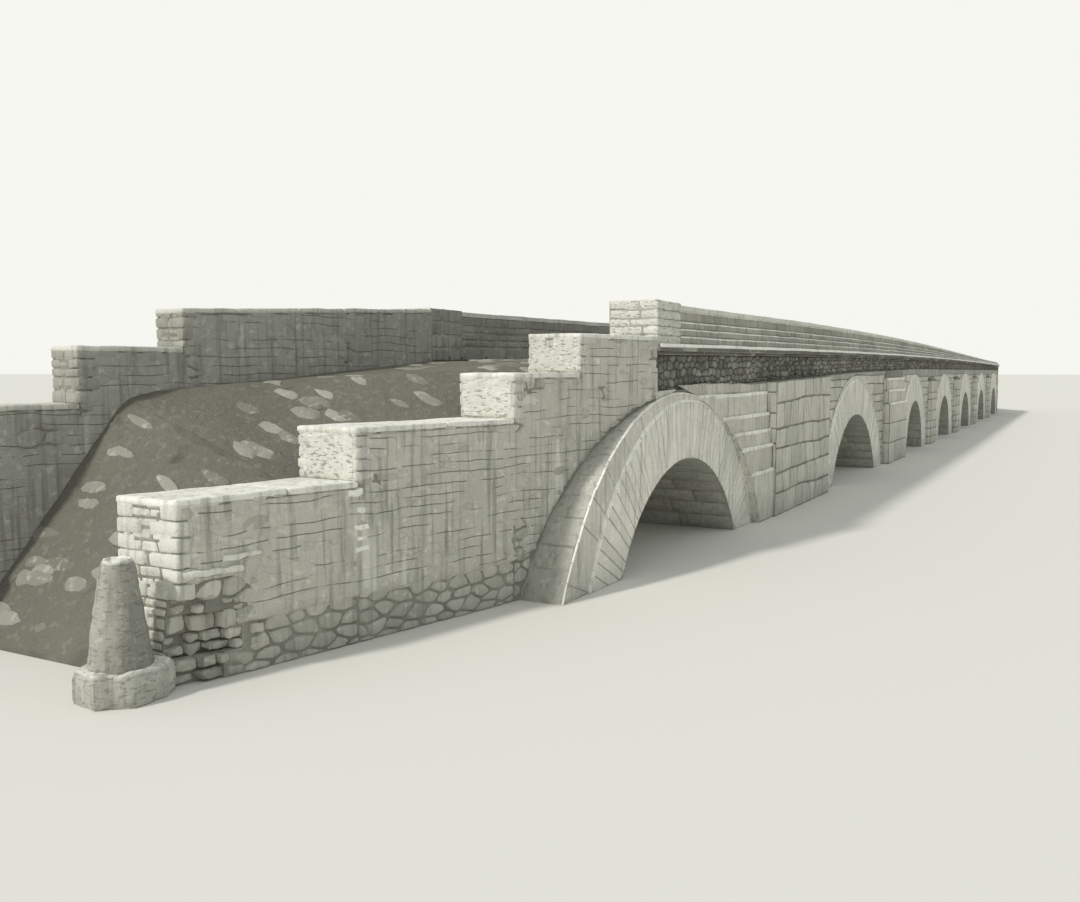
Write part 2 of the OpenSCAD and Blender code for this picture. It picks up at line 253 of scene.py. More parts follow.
def grid_steps(length, edge, cell):
    """Places of the grid lines over a length, as shares of it, with one at each worn edge."""
    parts = int(np.clip(round(length / cell), 1, 6))
    return np.concatenate([[0], np.linspace(edge, 1 - edge, parts + 1), [1]])


def add_object(name, data):
    """A new object of the scene."""
    made = bpy.data.objects.new(name, data)
    bpy.context.scene.collection.objects.link(made)
    return made


def xyz(x, y, z):
    """Points from their coordinates."""
    return np.stack([x, y, z], axis=-1)


def stack_faces(rings, sides):
    """Faces of a closed body made of rings of points, from the bottom up."""
    faces = []
    for j, k in product(range(rings - 1), range(sides)):
        low, high, after = j * sides, (j + 1) * sides, (k + 1) % sides
        faces.append((low + k, low + after, high + after, high + k))
    return faces + [tuple(range((rings - 1) * sides, rings * sides)), tuple(range(sides))[::-1]]


class Masonry:
    """Collects many stones and turns them into one mesh. Each stone has a tone from dark to light,
    and may carry painted shade or a pale crust, which in places is a painted highlight."""

    def __init__(self, name, slot, seed, tones=(0.25, 1.0)):
        self.name = name
        self.slot = slot
        self.rng = np.random.default_rng(seed)
        self.seed = seed
        self.tones = tones
        self.points = []
        self.faces = []
        self.marks = {"tone": [], "grime": [], "pale": []}
        self.count = 0

    def add(self, points, faces, tone=None, grime=0.0, pale=0.0):
        if tone is None:
            tone = self.rng.uniform(*self.tones)
        self.points.append(points)
        self.faces.extend([tuple(index + self.count for index in face) for face in faces])
        for name, value in (("tone", tone), ("grime", grime), ("pale", pale)):
            self.marks[name].append(np.full(len(points), float(value)))
        self.count += len(points)

    def stone(self, place, quad, proud=0.008, joint=0.008, chamfer=0.010, cell=0.09, **marks):
        """A stone on a face. quad is its four corners in the plane of the face, from lower left,
        and place turns plane coordinates and a height over the face into a point."""
        quad = np.array(quad, float)
        width = (np.linalg.norm(quad[1] - quad[0]) + np.linalg.norm(quad[2] - quad[3])) / 2
        height = (np.linalg.norm(quad[3] - quad[0]) + np.linalg.norm(quad[2] - quad[1])) / 2
        if width < 2.5 * joint or height < 2.5 * joint:
            return
        rows = [grid_steps(size, min(chamfer / (size - joint), 0.3), cell) for size in (width, height)]
        s, t = np.meshgrid(*rows, indexing="ij")
        inset_s, inset_t = joint / 2 / width, joint / 2 / height
        a = inset_s + s * (1 - 2 * inset_s)
        b = inset_t + t * (1 - 2 * inset_t)
        border = (s == 0) | (s == 1) | (t == 0) | (t == 1)
        tilt = self.rng.uniform(-0.3, 0.3, 2) * proud
        crown = 1 - 0.25 * ((2 * s - 1) ** 2 + (2 * t - 1) ** 2)
        high = proud * self.rng.uniform(0.75, 1.15) * crown + tilt[0] * (s - 0.5) + tilt[1] * (t - 0.5)
        w = np.where(border, -SINK, high)
        corners = [(1 - a) * (1 - b), a * (1 - b), a * b, (1 - a) * b]
        flat = sum(corner[..., None] * quad[k] for k, corner in enumerate(corners))
        n, m = s.shape
        index = np.arange(n * m).reshape(n, m)
        rings = [index[:-1, :-1], index[1:, :-1], index[1:, 1:], index[:-1, 1:]]
        faces = list(zip(*(ring.ravel() for ring in rings)))
        faces.append((*index[0, :], *index[1:, -1], *index[-1, -2::-1], *index[-2:0:-1, 0]))
        self.add(place(flat[..., 0].ravel(), flat[..., 1].ravel(), w.ravel()), faces, **marks)

    def rough(self, place, polygon, proud=0.009, joint=0.005, step=0.045, **marks):
        """A rough stone with the given outline in the plane of the face."""
        inset = shrink(polygon, joint / 2)
        if len(inset) < 3 or area(inset) < 0.0004:
            return
        ring = rounded(inset, step)
        n = len(ring)
        middle = ring.mean(axis=0)
        size = math.sqrt(area(inset))
        shoulder = middle + (ring - middle) * (1 - min(0.014 / size, 0.2))
        inner = middle + (ring - middle) * 0.5
        lift = proud * self.rng.uniform(0.7, 1.2)
        tilt = self.rng.uniform(-0.35, 0.35, 2) * proud / size
        flat = np.concatenate([ring, shoulder, inner, [middle]])
        w = np.concatenate([np.full(n, -SINK), np.full(n, 0.8 * lift), np.full(n + 1, lift * 1.1)])
        w[n:] += (flat[n:] - middle) @ tilt
        faces = stack_faces(3, n)[:2 * n]
        faces += [(2 * n + j, 2 * n + (j + 1) % n, 3 * n) for j in range(n)]
        faces.append(tuple(range(n))[::-1])
        self.add(place(flat[:, 0], flat[:, 1], w), faces, **marks)

    def block(self, place, low, high, chamfer=0.010, cell=0.12, **marks):
        """A whole block between two corners, with worn edges. place turns block coordinates into
        a point."""
        low, high = np.array(low, float), np.array(high, float)
        size = high - low
        if min(size) <= 0:
            return
        steps = [grid_steps(length, min(chamfer / length, 0.25), cell) for length in size]
        last = [len(step) - 1 for step in steps]
        index = {}
        points = []

        def corner(key):
            if key not in index:
                at = [steps[axis][key[axis]] for axis in range(3)]
                extreme = [axis for axis in range(3) if key[axis] in (0, last[axis])]
                pull = {1: 0, 2: 0.3, 3: 0.42}[len(extreme)]
                for axis in extreme:
                    edge = steps[axis][1] * pull
                    at[axis] = edge if key[axis] == 0 else 1 - edge
                index[key] = len(points)
                points.append(low + np.array(at) * size)
            return index[key]

        faces = []
        for axis in range(3):
            u, v = (axis + 1) % 3, (axis + 2) % 3
            for end, i, j in product((0, last[axis]), range(last[u]), range(last[v])):
                ring = []
                for di, dj in ((0, 0), (1, 0), (1, 1), (0, 1)):
                    key = [0, 0, 0]
                    key[axis], key[u], key[v] = end, i + di, j + dj
                    ring.append(corner(tuple(key)))
                faces.append(tuple(ring if end else ring[::-1]))
        self.add(place(*np.array(points).T), faces, **marks)

    def sheet(self, place, low, high, cell, value, height, **marks):
        """A thin coat over the part of a rectangle where value is positive. Its rim lies on the
        line where value is zero."""
        counts = [max(2, round((high[k] - low[k]) / cell)) for k in range(2)]
        along = [np.linspace(low[k], high[k], counts[k] + 1) for k in range(2)]
        a, b = np.meshgrid(*along, indexing="ij")
        v = value(a, b)
        inside = v > 0
        kept = inside[:-1, :-1] | inside[1:, :-1] | inside[:-1, 1:] | inside[1:, 1:]
        for _ in range(4):
            rising = kept[:-1, :-1] & kept[1:, 1:] & ~kept[1:, :-1] & ~kept[:-1, 1:]
            falling = kept[1:, :-1] & kept[:-1, 1:] & ~kept[:-1, :-1] & ~kept[1:, 1:]
            kept[1:, :-1] |= rising
            kept[:-1, :-1] |= falling
        if not kept.any():
            return
        flat = np.stack([a, b], axis=-1)
        moved = flat.copy()
        n, m = a.shape
        for i, j in np.argwhere(~inside):
            near = product(range(max(0, i - 1), min(n, i + 2)), range(max(0, j - 1), min(m, j + 2)))
            near = [key for key in near if inside[key]]
            if near:
                best = max(near, key=lambda key: v[key])
                t = max(v[best] / (v[best] - v[i, j]), 0.15)
                moved[i, j] = flat[best] + (flat[i, j] - flat[best]) * t
        w = np.where(inside, height(a, b), 0.0)
        index = {}
        points = []

        def vertex(i, j, back):
            key = (i, j, back)
            if key not in index:
                index[key] = len(points)
                points.append((*moved[i, j], -SINK if back else w[i, j]))
            return index[key]

        faces = []
        for i, j in np.argwhere(kept):
            ring = [(i, j), (i + 1, j), (i + 1, j + 1), (i, j + 1)]
            faces.append(tuple(vertex(*p, False) for p in ring))
            faces.append(tuple(vertex(*p, True) for p in ring[::-1]))
            sides = [(i, j - 1), (i + 1, j), (i, j + 1), (i - 1, j)]
            for k, (p, q) in enumerate(sides):
                if 0 <= p < n - 1 and 0 <= q < m - 1 and kept[p, q]:
                    continue
                first, last = ring[k], ring[(k + 1) % 4]
                rim = [(last, False), (first, False), (first, True), (last, True)]
                faces.append(tuple(vertex(*p, back) for p, back in rim))
        self.add(place(*np.array(points).T), faces, **marks)

    def build(self, rough=0.003, scale=9.0, material=None):
        """The piece. rough is how far its surface wanders."""
        points = np.concatenate(self.points)
        for axis in range(3):
            coarse = value_noise(points, scale, self.seed + axis)
            fine = value_noise(points, scale * 4, self.seed + axis + 3)
            points[:, axis] += rough * (0.7 * coarse + 0.5 * fine)
        points[:, 2] = np.maximum(points[:, 2], 0)
        mesh = bpy.data.meshes.new(self.name)
        mesh.from_pydata(points.tolist(), [], self.faces)
        for name, values in self.marks.items():
            mesh.attributes.new(name, "FLOAT", "POINT").data.foreach_set("value", np.concatenate(values))
        work = bmesh.new()
        work.from_mesh(mesh)
        bmesh.ops.recalc_face_normals(work, faces=work.faces)
        work.to_mesh(mesh)
        work.free()
        mesh.shade_smooth()
        mesh.set_sharp_from_angle(angle=math.radians(38))
        mesh.materials.append(materials[material or self.slot])
        piece = add_object(self.name, mesh)
        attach(piece, "root")
        return piece


# Rows of stones


def joints_along(rng, start, end, length):
    """Places of the upright joints of one course, ends included."""
    places = [start]
    while end - places[-1] > 1.4 * length:
        places.append(places[-1] + length * rng.uniform(0.65, 1.35))
    if len(places) > 1 and end - places[-1] < 0.45 * length:
        places.pop()
    places.append(end)
    return places


def constant(value):
    """A line or an edge that is the same everywhere."""
    return lambda a: value


def wavy(line, size, seed, pitch=1.7):
    """A course edge that wanders a little."""
    return lambda a: line(a) + size * float(plane_noise(a, seed * 3.3, pitch, seed))


def meeting(edge, line):
    """Where the edge of a stretch, given as a at a height, meets a course line."""
    a = edge(0)
    for _ in range(12):
        a = (a + edge(line(a))) / 2
    return a


def courses(work, place, lines, start, end, length, slant=0.0, reach=0.0, **looks):
    """Fills a stretch of a face with courses. lines are the course edges as functions of a, and
    start and end give the ends of the stretch at a height b. slant is how far the upright joints
    lean, and reach lengthens the first stone."""
    for low, high in pairwise(lines):
        near = [meeting(start, line) - reach for line in (low, high)]
        far = [max(meeting(end, line), near[k]) for k, line in enumerate((low, high))]
        if max(far) - max(near) < 0.04:
            continue
        inner = joints_along(work.rng, max(near), max(max(near) + 0.01, min(far)), length)[1:-1]
        bottoms = [near[0]] + [a + slant * work.rng.uniform(-1, 1) for a in inner] + [far[0]]
        tops = [near[1]] + [a + slant * work.rng.uniform(-1, 1) for a in inner] + [far[1]]
        for j in range(len(bottoms) - 1):
            ends = [bottoms[j], bottoms[j + 1], tops[j + 1], tops[j]]
            quad = [(a, line(a)) for a, line in zip(ends, (low, low, high, high))]
            if max(quad[2][1], quad[3][1]) - min(quad[0][1], quad[1][1]) > 0.008:
                work.stone(place, quad, **looks)


def side_face(side, face):
    """Plane of a wall along the bridge: a is x and b is z. side is -1 on the right."""
    return lambda a, b, w: xyz(a, side * (face + w), b)


def over_line(side, line):
    """Block coordinates along the bridge: x, distance from its axis, and height over a line."""
    return lambda x, y, c: xyz(x, side * y, line(x) + c)


def around(x, z, r, angle, y):
    """Points of a circle across the bridge. The angle is measured from its top."""
    return xyz(x + r * np.sin(angle), y, z + r * np.cos(angle))


def level_lines(rng, top, height, wave=0.0, seed=0):
    """Course edges from z = 0 up to the line top, with heights near the given one."""
    heights = [0.0]
    while top(0) - heights[-1] > 1.5 * height:
        heights.append(heights[-1] + height * rng.uniform(0.7, 1.3))
    lines = [constant(0.0)]
    lines += [wavy(constant(z), wave, seed + k) for k, z in enumerate(heights[1:])]
    return lines + [top]


def circle_side(i, way):
    """x of one side of an arch's outer curve at a height. way is -1 for its left side."""
    x, z, r = outer_circle(i)
    return lambda b: x + way * math.sqrt(max(r * r - (b - z) ** 2, 0))


# Materials

# Places of the colour sockets on a mix node
MIX_A = 6
MIX_B = 7
MIX_RESULT = 2


def add_node(tree, kind, inputs, **settings):
    """A shader node. Each input is a number, a colour or the output of another node."""
    node = tree.nodes.new("ShaderNode" + kind)
    for name, value in settings.items():
        setattr(node, name, value)
    for name, value in inputs.items():
        if isinstance(value, bpy.types.NodeSocket):
            tree.links.new(value, node.inputs[name])
        else:
            node.inputs[name].default_value = value
    return node


def principled(name):
    """A new material with its node tree and its shader."""
    material = bpy.data.materials.new(name)
    material.use_nodes = True
    return material, material.node_tree, material.node_tree.nodes["Principled BSDF"]


class Shading:
    """Short names for the shader nodes that the stone materials share."""

    def __init__(self, name):
        self.material, self.tree, self.shader = principled(name)
        self.place = self.node("TexCoord", {}).outputs["Object"]

    def node(self, kind, inputs, **settings):
        return add_node(self.tree, kind, inputs, **settings)

    def stretched(self, stretch):
        return self.node("Mapping", {"Scale": stretch, "Vector": self.place}).outputs["Vector"]

    def noise(self, scale, detail, stretch=None):
        place = self.stretched(stretch) if stretch else self.place
        return self.node("TexNoise", {"Scale": scale, "Detail": detail, "Vector": place}).outputs["Fac"]

    def span(self, value, low, high, to_low=0.0, to_high=1.0):
        limits = {"From Min": low, "From Max": high, "To Min": to_low, "To Max": to_high}
        return self.node("MapRange", {"Value": value, **limits}).outputs["Result"]

    def times(self, first, second):
        return self.node("Math", {0: first, 1: second}, operation="MULTIPLY").outputs[0]

    def mix(self, factor, first, second):
        """A colour between two, each given as a colour or as an output."""
        first, second = ((*c, 1) if isinstance(c, tuple) else c for c in (first, second))
        blend = self.node("Mix", {"Factor": factor, MIX_A: first, MIX_B: second}, data_type="RGBA")
        return blend.outputs[MIX_RESULT]

    def layer(self, colour, noise, low, high, share, other):
        """The colour under a share of another one, where the noise lies above low and high."""
        return self.mix(self.span(self.noise(*noise), low, high, 0, share), colour, other)

    def attribute(self, name):
        return self.node("Attribute", {}, attribute_name=name).outputs["Fac"]

    def bump(self, height, strength, distance, **normal):
        inputs = {"Strength": strength, "Distance": distance, "Height": height, **normal}
        return self.node("Bump", inputs).outputs["Normal"]

    def crack_lines(self):
        """A net of thin bent lines."""
        bend = self.node("TexNoise", {"Scale": 6.0, "Detail": 4, "Vector": self.place})
        terms = {0: bend.outputs["Color"], 1: (0.35, 0.35, 0.35), 2: self.stretched((1.2, 1.2, 4.5))}
        bent = self.node("VectorMath", terms, operation="MULTIPLY_ADD").outputs[0]
        net = self.node("TexVoronoi", {"Scale": 3.2, "Vector": bent}, feature="DISTANCE_TO_EDGE")
        return self.span(net.outputs["Distance"], 0.003, 0.020, 1, 0)

    def bed_lines(self):
        """Thin level lines that wander, where the courses show through a coat."""
        inputs = {"Scale": 6.0, "Distortion": 3.6, "Detail": 3, "Detail Scale": 0.45, "Vector": self.place}
        wave = self.node("TexWave", inputs, bands_direction="Z")
        return self.span(wave.outputs["Fac"], 0.006, 0.05, 1, 0)

    def finish(self, colour, normal, roughness, specular):
        """Joins colour and normal to the shader and gives the material."""
        self.tree.links.new(colour, self.shader.inputs["Base Color"])
        self.tree.links.new(normal, self.shader.inputs["Normal"])
        self.shader.inputs["Roughness"].default_value = roughness
        self.shader.inputs["Specular IOR Level"].default_value = specular
        return self.material


def scaled(colour, share):
    """A colour made darker or lighter."""
    return tuple(min(1.0, share * c) for c in colour)


# Colour of the pale crust on worn edges, which also serves as a painted highlight on edges in shade
CRUST_AND_HIGHLIGHT = (0.93, 0.93, 0.85)


def masonry_material(name, dark, light, streak=0.45, damp=0.25, speckle=0.35,
                     cracks=0.0, pits=0.0, runs=0.0, beds=0.0, rough=0.5):
    """Weathered stone. Its colour runs from dark to light by stone, under stains, speckles, rain
    streaks, a pale crust that in places is a painted highlight, painted shade and damp at the foot.
    cracks adds a net of thin ones, pits adds short level dashes, runs adds pale ones that ran down,
    and beds adds long level lines."""
    s = Shading(name)
    shade = scaled(dark, 0.3)
    colour = s.mix(s.attribute("tone"), dark, light)
    # The pale mark: a crust, and in many places a painted highlight
    colour = s.mix(s.attribute("pale"), colour, CRUST_AND_HIGHLIGHT)
    for noise, low, high, share, other in (
        ((1.3, 5), 0.42, 0.72, 0.35, scaled(dark, 0.8)),
        ((7.0, 5), 0.50, 0.75, 0.45, scaled(light, 0.62)),
        ((24.0, 6), 0.56, 0.68, 0.40, scaled(light, 1.25)),
        ((1.0, 5, (30, 30, 2.0)), 0.50, 0.72, streak, shade),
        ((130.0, 3), 0.57, 0.72, speckle, shade),
    ):
        colour = s.layer(colour, noise, low, high, share, other)
    if cracks:
        broken = s.span(s.noise(3.1, 2), 0.45, 0.55, 0, cracks)
        colour = s.mix(s.times(s.crack_lines(), broken), colour, shade)
    if beds:
        broken = s.span(s.noise(1.0, 3, (3.2, 3.2, 14)), 0.47, 0.54, 0, beds)
        colour = s.mix(s.times(s.bed_lines(), broken), colour, shade)
    if runs:
        colour = s.layer(colour, (1.0, 2, (9, 9, 0.9)), 0.62, 0.70, runs, CRUST_AND_HIGHLIGHT)
    if pits:
        colour = s.layer(colour, (1.0, 3, (26, 26, 95)), 0.56, 0.61, pits, scaled(dark, 0.45))
    # Painted shade: the colour darkens by the shade mark of each stone
    colour = s.mix(s.attribute("grime"), colour, scaled(dark, 0.2))
    height = s.node("SeparateXYZ", {0: s.place}).outputs["Z"]
    colour = s.mix(s.span(height, 0.0, 0.3, damp, 0.0), colour, shade)
    grain = s.bump(s.noise(70.0, 6), rough, 0.006)
    return s.finish(colour, s.bump(s.noise(17.0, 6), rough, 0.016, Normal=grain), 0.93, 0.15)


def mortar_material(name, tint):
    """Mortar and packing between the stones."""
    s = Shading(name)
    colour = s.mix(s.span(s.noise(6.0, 5), 0.35, 0.7), scaled(tint, 0.7), scaled(tint, 1.15))
    colour = s.layer(colour, (90.0, 4), 0.55, 0.75, 0.5, scaled(tint, 0.4))
    return s.finish(colour, s.bump(s.noise(60.0, 6), 0.8, 0.01), 1.0, 0.1)


# Colours of each finish: the darkest stones, the lightest ones and the mortar
STONES = {
    "arch_stone": ((0.62, 0.62, 0.54), (0.86, 0.86, 0.76), (0.40, 0.40, 0.34)),
    "arch_backing_stone": ((0.54, 0.54, 0.47), (0.70, 0.70, 0.61), (0.44, 0.44, 0.38)),
    "pier_stone": ((0.42, 0.42, 0.36), (0.66, 0.66, 0.57), (0.24, 0.24, 0.20)),
    "ashlar_stone": ((0.48, 0.48, 0.41), (0.68, 0.68, 0.59), (0.28, 0.28, 0.235)),
    # stained_stone is kept very dark: painted shade for the band under the cornice
    "stained_stone": ((0.12, 0.12, 0.098), (0.42, 0.42, 0.355), (0.12, 0.12, 0.098)),
    "dressed_stone": ((0.58, 0.58, 0.51), (0.76, 0.76, 0.68), (0.40, 0.40, 0.34)),
    "parapet_stone": ((0.27, 0.27, 0.23), (0.42, 0.42, 0.36), (0.36, 0.36, 0.31)),
    "rubble_stone": ((0.38, 0.38, 0.32), (0.60, 0.60, 0.52), (0.30, 0.30, 0.255)),
    "road_stone": ((0.16, 0.16, 0.13), (0.46, 0.46, 0.39), (0.16, 0.16, 0.13)),
    "guard_stone": ((0.26, 0.26, 0.215), (0.56, 0.56, 0.485), (0.26, 0.26, 0.215)),
}
# The coats over the stones, with what each one shows
COATS = {
    "old_render": ((0.42, 0.42, 0.36), (0.66, 0.66, 0.57),
                   {"streak": 0.6, "cracks": 0.35, "speckle": 0.3, "runs": 0.3, "beds": 0.85}),
    "limewash": ((0.56, 0.56, 0.50), (0.69, 0.69, 0.61),
                 {"streak": 0.1, "cracks": 0.3, "speckle": 0.3, "damp": 0.2, "pits": 0.8}),
    "packed_earth": ((0.11, 0.11, 0.085), (0.22, 0.22, 0.18),
                     {"streak": 0.0, "damp": 0.0, "speckle": 0.5, "rough": 0.9}),
}


def make_materials():
    """Every finish by name, with the mortar of each kind of stone."""
    made = {}
    for name, (dark, light, mortar) in STONES.items():
        streak = {"stained_stone": 0.6, "dressed_stone": 0.2, "road_stone": 0.0}.get(name, 0.45)
        damp = 0.0 if name == "road_stone" else 0.25
        pits = 0.4 if name == "guard_stone" else 0.0
        made[name] = masonry_material(name, dark, light, streak=streak, damp=damp, pits=pits)
        made[name + "_mortar"] = mortar_material(name + "_mortar", mortar)
    for name, (dark, light, looks) in COATS.items():
        made[name] = masonry_material(name, dark, light, **looks)
    return made


materials = make_materials()


def finish_nodes():
    """Every construction piece takes the mortar of its slot, since its stones cover it."""
    slots = {part["node"]: part["material_slot"] for part in frame["record"]["subparts"]}
    for name, node in nodes.items():
        if not node.material_slots:
            node.data.materials.append(None)
        for place in node.material_slots:
            place.material = materials[slots[name] + "_mortar"]


# Vaults

# Width of an arch stone on the inner curve
VOUSSOIR_T = 0.072


def voussoirs(work, i, side, face, inner, outer, joints, **looks):
    """Wedge-shaped stones between two radii, cut off at z = 0. joints are their angles, and inner
    and outer give a radius for an angle."""
    for low, high in pairwise(joints):
        quad = []
        for angle, radius in ((low, inner), (high, inner), (high, outer), (low, outer)):
            lowest = -arch_z[i] / max(math.cos(angle), 0.01)
            r = min(max(radius(angle), lowest), outer(angle))
            quad.append((centres[i] + r * math.sin(angle), max(0, arch_z[i] + r * math.cos(angle))))
        work.stone(side_face(side, face), quad, **looks)


def pale_edge(work, i, side, face, rim, joints):
    """The outer edge of a ring, made pale as a painted highlight."""

    def inner(angle):
        return rim(angle) - 0.012

    looks = {"proud": 0.012, "joint": 0.0005, "chamfer": 0.003, "pale": 1}
    voussoirs(work, i, side, face + 0.006, inner, rim, joints, **looks)


def pointing(work, i, side):
    """A pale strip in the corner between a ring and what lies behind it, a painted highlight over the
    corner's shade. It is sloped like a fillet.
    """
    inside, outside = -0.010, 0.016
    half = math.atan2(ring_foot[i], -arch_z[i])
    x, z, r = centres[i], arch_z[i], ring_r[i]

    def place(a, b, w):
        slope = np.interp(b, [inside, outside], [RING_FACE + 0.010, FACE - 0.004])
        return around(x, z, r + b, a / r, side * (slope + w))

    for low, high in pairwise(np.linspace(-half * r, half * r, 61)):
        quad = [(low, inside), (high, inside), (high, outside), (low, outside)]
        work.stone(place, quad, proud=0.004, joint=0.0004, chamfer=0.004, pale=1)


def ring_stones(i):
    """The arch stones on both faces of a vault."""
    work = Masonry(f"ring_stones_{i + 1}", "arch_stone", 100 + i, tones=(0.3, 0.9))
    half = math.atan2(ring_foot[i], -arch_z[i])
    count = int(round(2 * half * arch_r[i] / VOUSSOIR_T))
    looks = {"joint": 0.004, "chamfer": 0.005, "cell": 0.11, "proud": 0.006}
    for side in (-1, 1):
        joints = np.linspace(-half, half, count + 1)
        joints[1:-1] += work.rng.uniform(-0.2, 0.2, count - 1) * (joints[1] - joints[0])
        inner, rim = constant(arch_r[i]), constant(ring_r[i])
        voussoirs(work, i, side, RING_FACE, inner, rim, joints, **looks)
        pointing(work, i, side)
    work.build()


def vault_stones(i):
    """The courses on the underside of a vault, darkened with painted shade."""
    work = Masonry(f"vault_stones_{i + 1}", "arch_stone", 110 + i)
    half = math.atan2(SPANS[i] / 2, -arch_z[i])

    def under(a, b, w):
        return around(centres[i], arch_z[i], arch_r[i] - w, a / arch_r[i], b)

    rows = np.linspace(-half, half, int(round(2 * half * arch_r[i] / (2 * VOUSSOIR_T))) + 1) * arch_r[i]
    for low, high in pairwise(rows):
        for start, end in pairwise(joints_along(work.rng, -RING_FACE, RING_FACE, 0.42)):
            quad = [(low, start), (high, start), (high, end), (low, end)]
            work.stone(under, quad, proud=0.006, cell=0.2, grime=0.45)
    work.build()


def band_stones():
    """Slabs of the backing course on the first vault and of the hood on the second."""
    work = Masonry("band_stones", "arch_backing_stone", 120)
    for i in (0, 1):
        x, z, r = outer_circle(i)
        dx, dz = centres[i] - x, arch_z[i] - z

        def outer(angle, r=r, dx=dx, dz=dz):
            along = dx * math.sin(angle) + dz * math.cos(angle)
            return -along + math.sqrt(along**2 - dx**2 - dz**2 + r**2)

        foot = math.sqrt(r * r - z * z)
        ends = [math.atan2(x + way * foot - centres[i], -arch_z[i]) for way in (-1, 1)]
        half = math.atan2(ring_foot[i], -arch_z[i])
        corners = [ends[0], -half, half, ends[1]]
        turns = sorted({t for pair in pairwise(corners) for t in joints_along(work.rng, *pair, 0.15)})
        for side in (-1, 1):
            rim = constant(ring_r[i])
            voussoirs(work, i, side, FACE, rim, outer, turns, proud=0.004, joint=0.003, chamfer=0.006)
            pale_edge(work, i, side, FACE - 0.002, outer, np.linspace(*ends, 41))

    def over(a, b, w):
        return around(band_x, band_z, band_r + w, a / band_r, b)

    # The outer curve shows beside the wing walls, darkened with painted shade
    ends = [math.asin(x / band_r) * band_r for x in (-band_half, near_x - band_x)]
    for low, high in pairwise(joints_along(work.rng, *ends, 0.22)):
        runs = [near_x - band_x - band_r * math.sin(a / band_r) for a in (low, high)]
        right = [-FACE + TURN_SLOPE * max(run, 0) - 0.005 for run in runs]
        outside = -FACE - 0.004
        quad = [(low, outside), (high, outside), (high, right[1]), (low, right[0])]
        work.stone(over, quad, proud=0.004, joint=0.003, grime=0.25)
        left = [(low, LEFT_FACE), (high, LEFT_FACE), (high, FACE + 0.004), (low, FACE + 0.004)]
        work.stone(over, left, proud=0.004, joint=0.003, grime=0.25)
    work.build()


# Walls along the bridge


def pier_stones(side, name):
    """Coursed rubble between the vaults."""
    work = Masonry(name, "pier_stone", 140 + side)
    bays = [(constant(near_x), circle_side(0, -1))]
    bays += [(circle_side(i, 1), circle_side(i + 1, -1)) for i in range(6)]
    bays += [(circle_side(6, 1), constant(far_x))]
    place = side_face(side, PIER_FACE)
    looks = {"slant": 0.02, "proud": 0.008, "joint": 0.005}
    for k, (start, end) in enumerate(bays):
        lines = level_lines(work.rng, lambda a: float(ledge(a)), 0.120, wave=0.012, seed=k * 31)
        courses(work, place, lines[:-1], start, end, 0.24, **looks)
        ends = [constant(meeting(edge, ledge)) for edge in (start, end)]
        looks["joint"] = 0.002
        # The top course is darkened with painted shade
        courses(work, place, [above_vaults(lines[-2]), lines[-1]], *ends, 0.18, grime=0.35, **looks)
        looks["joint"] = 0.005
    work.build(rough=0.004)


def above_vaults(line):
    """The line, or just inside the outer curve of a vault where that is higher."""

    def highest(a):
        curves = []
        for i in ARCHES:
            x, z, r = outer_circle(i)
            curves.append(z + math.sqrt(max(r * r - (a - x) ** 2, 0)) - 0.030)
        return max(line(a), *curves)

    return highest


def upper_wall_stones(side, name):
    """The recessed wall under the cornice, made dark with dark stone and painted shade."""
    work = Masonry(name, "stained_stone", 150 + side)
    mean = 0.2

    def place(a, b, w):
        height = cornice(a) - CORNICE_T - CORNICE_BED_T - ledge(a)
        return xyz(a, side * (UPPER_FACE + w), ledge(a) + height * b / mean)

    for cell in rubble_cells(work.rng, (near_x, 0), (far_x, mean), 0.110, 0.046):
        for nx, ny, limit in ((-1, 0, -near_x), (1, 0, far_x), (0, -1, 0), (0, 1, mean)):
            cell = clip(cell, nx, ny, limit)
        proud = work.rng.uniform(0.005, 0.012)
        work.rough(place, cell, proud=proud, joint=0.003, grime=work.rng.uniform(0, 0.5))
    work.build(rough=0.004)


def cornice_stones(side, name):
    """Two courses of slabs, darkened below with painted shade and pale along the upper edge as a painted
    highlight.
    """
    work = Masonry(name, "dressed_stone", 160 + side)
    lip = 0.022
    for low, high, out, grime in (
        (-CORNICE_T - CORNICE_BED_T, -CORNICE_T, PARAPET_FACE, 0.97),
        (-CORNICE_T, -lip, CORNICE_FACE, 0.93),
        (-lip, 0.003, CORNICE_FACE + 0.006, None),
    ):
        for start, end in pairwise(joints_along(work.rng, near_x, far_x, 0.42)):
            near = (start + 0.003, ROAD_HALF + 0.02, low)
            far = (end - 0.003, out + work.rng.uniform(0, 0.005), high)
            marks = {"grime": grime * work.rng.uniform(0.92, 1.03)} if grime else {"pale": 1}
            work.block(over_line(side, cornice), near, far, chamfer=0.006, cell=0.3, **marks)
    work.build(rough=0.004)


def parapet_stones(side, name):
    """Outer face of the four courses, each one behind the one below."""
    work = Masonry(name, "parapet_stone", 170 + side)
    ends = (constant(block_end), constant(far_x))
    for k, shares in enumerate(pairwise(COURSE_EDGES)):
        lines = [parapet_line(share) for share in shares]
        face = side_face(side, PARAPET_FACE - k * COURSE_STEP)
        courses(work, face, lines, *ends, 0.46, slant=0.006, proud=0.007, joint=0.004)
        # Pale strips along the edge of each course, a painted highlight
        for start, end in pairwise(joints_along(work.rng, block_end, far_x, 0.4)):
            out = PARAPET_FACE - k * COURSE_STEP + work.rng.uniform(0.004, 0.008)
            near = (start, out - COURSE_STEP - 0.012, -0.011)
            place = over_line(side, lines[1])
            work.block(place, near, (end, out, 0.001), chamfer=0.004, cell=0.3, pale=0.9)
    work.build(rough=0.004)


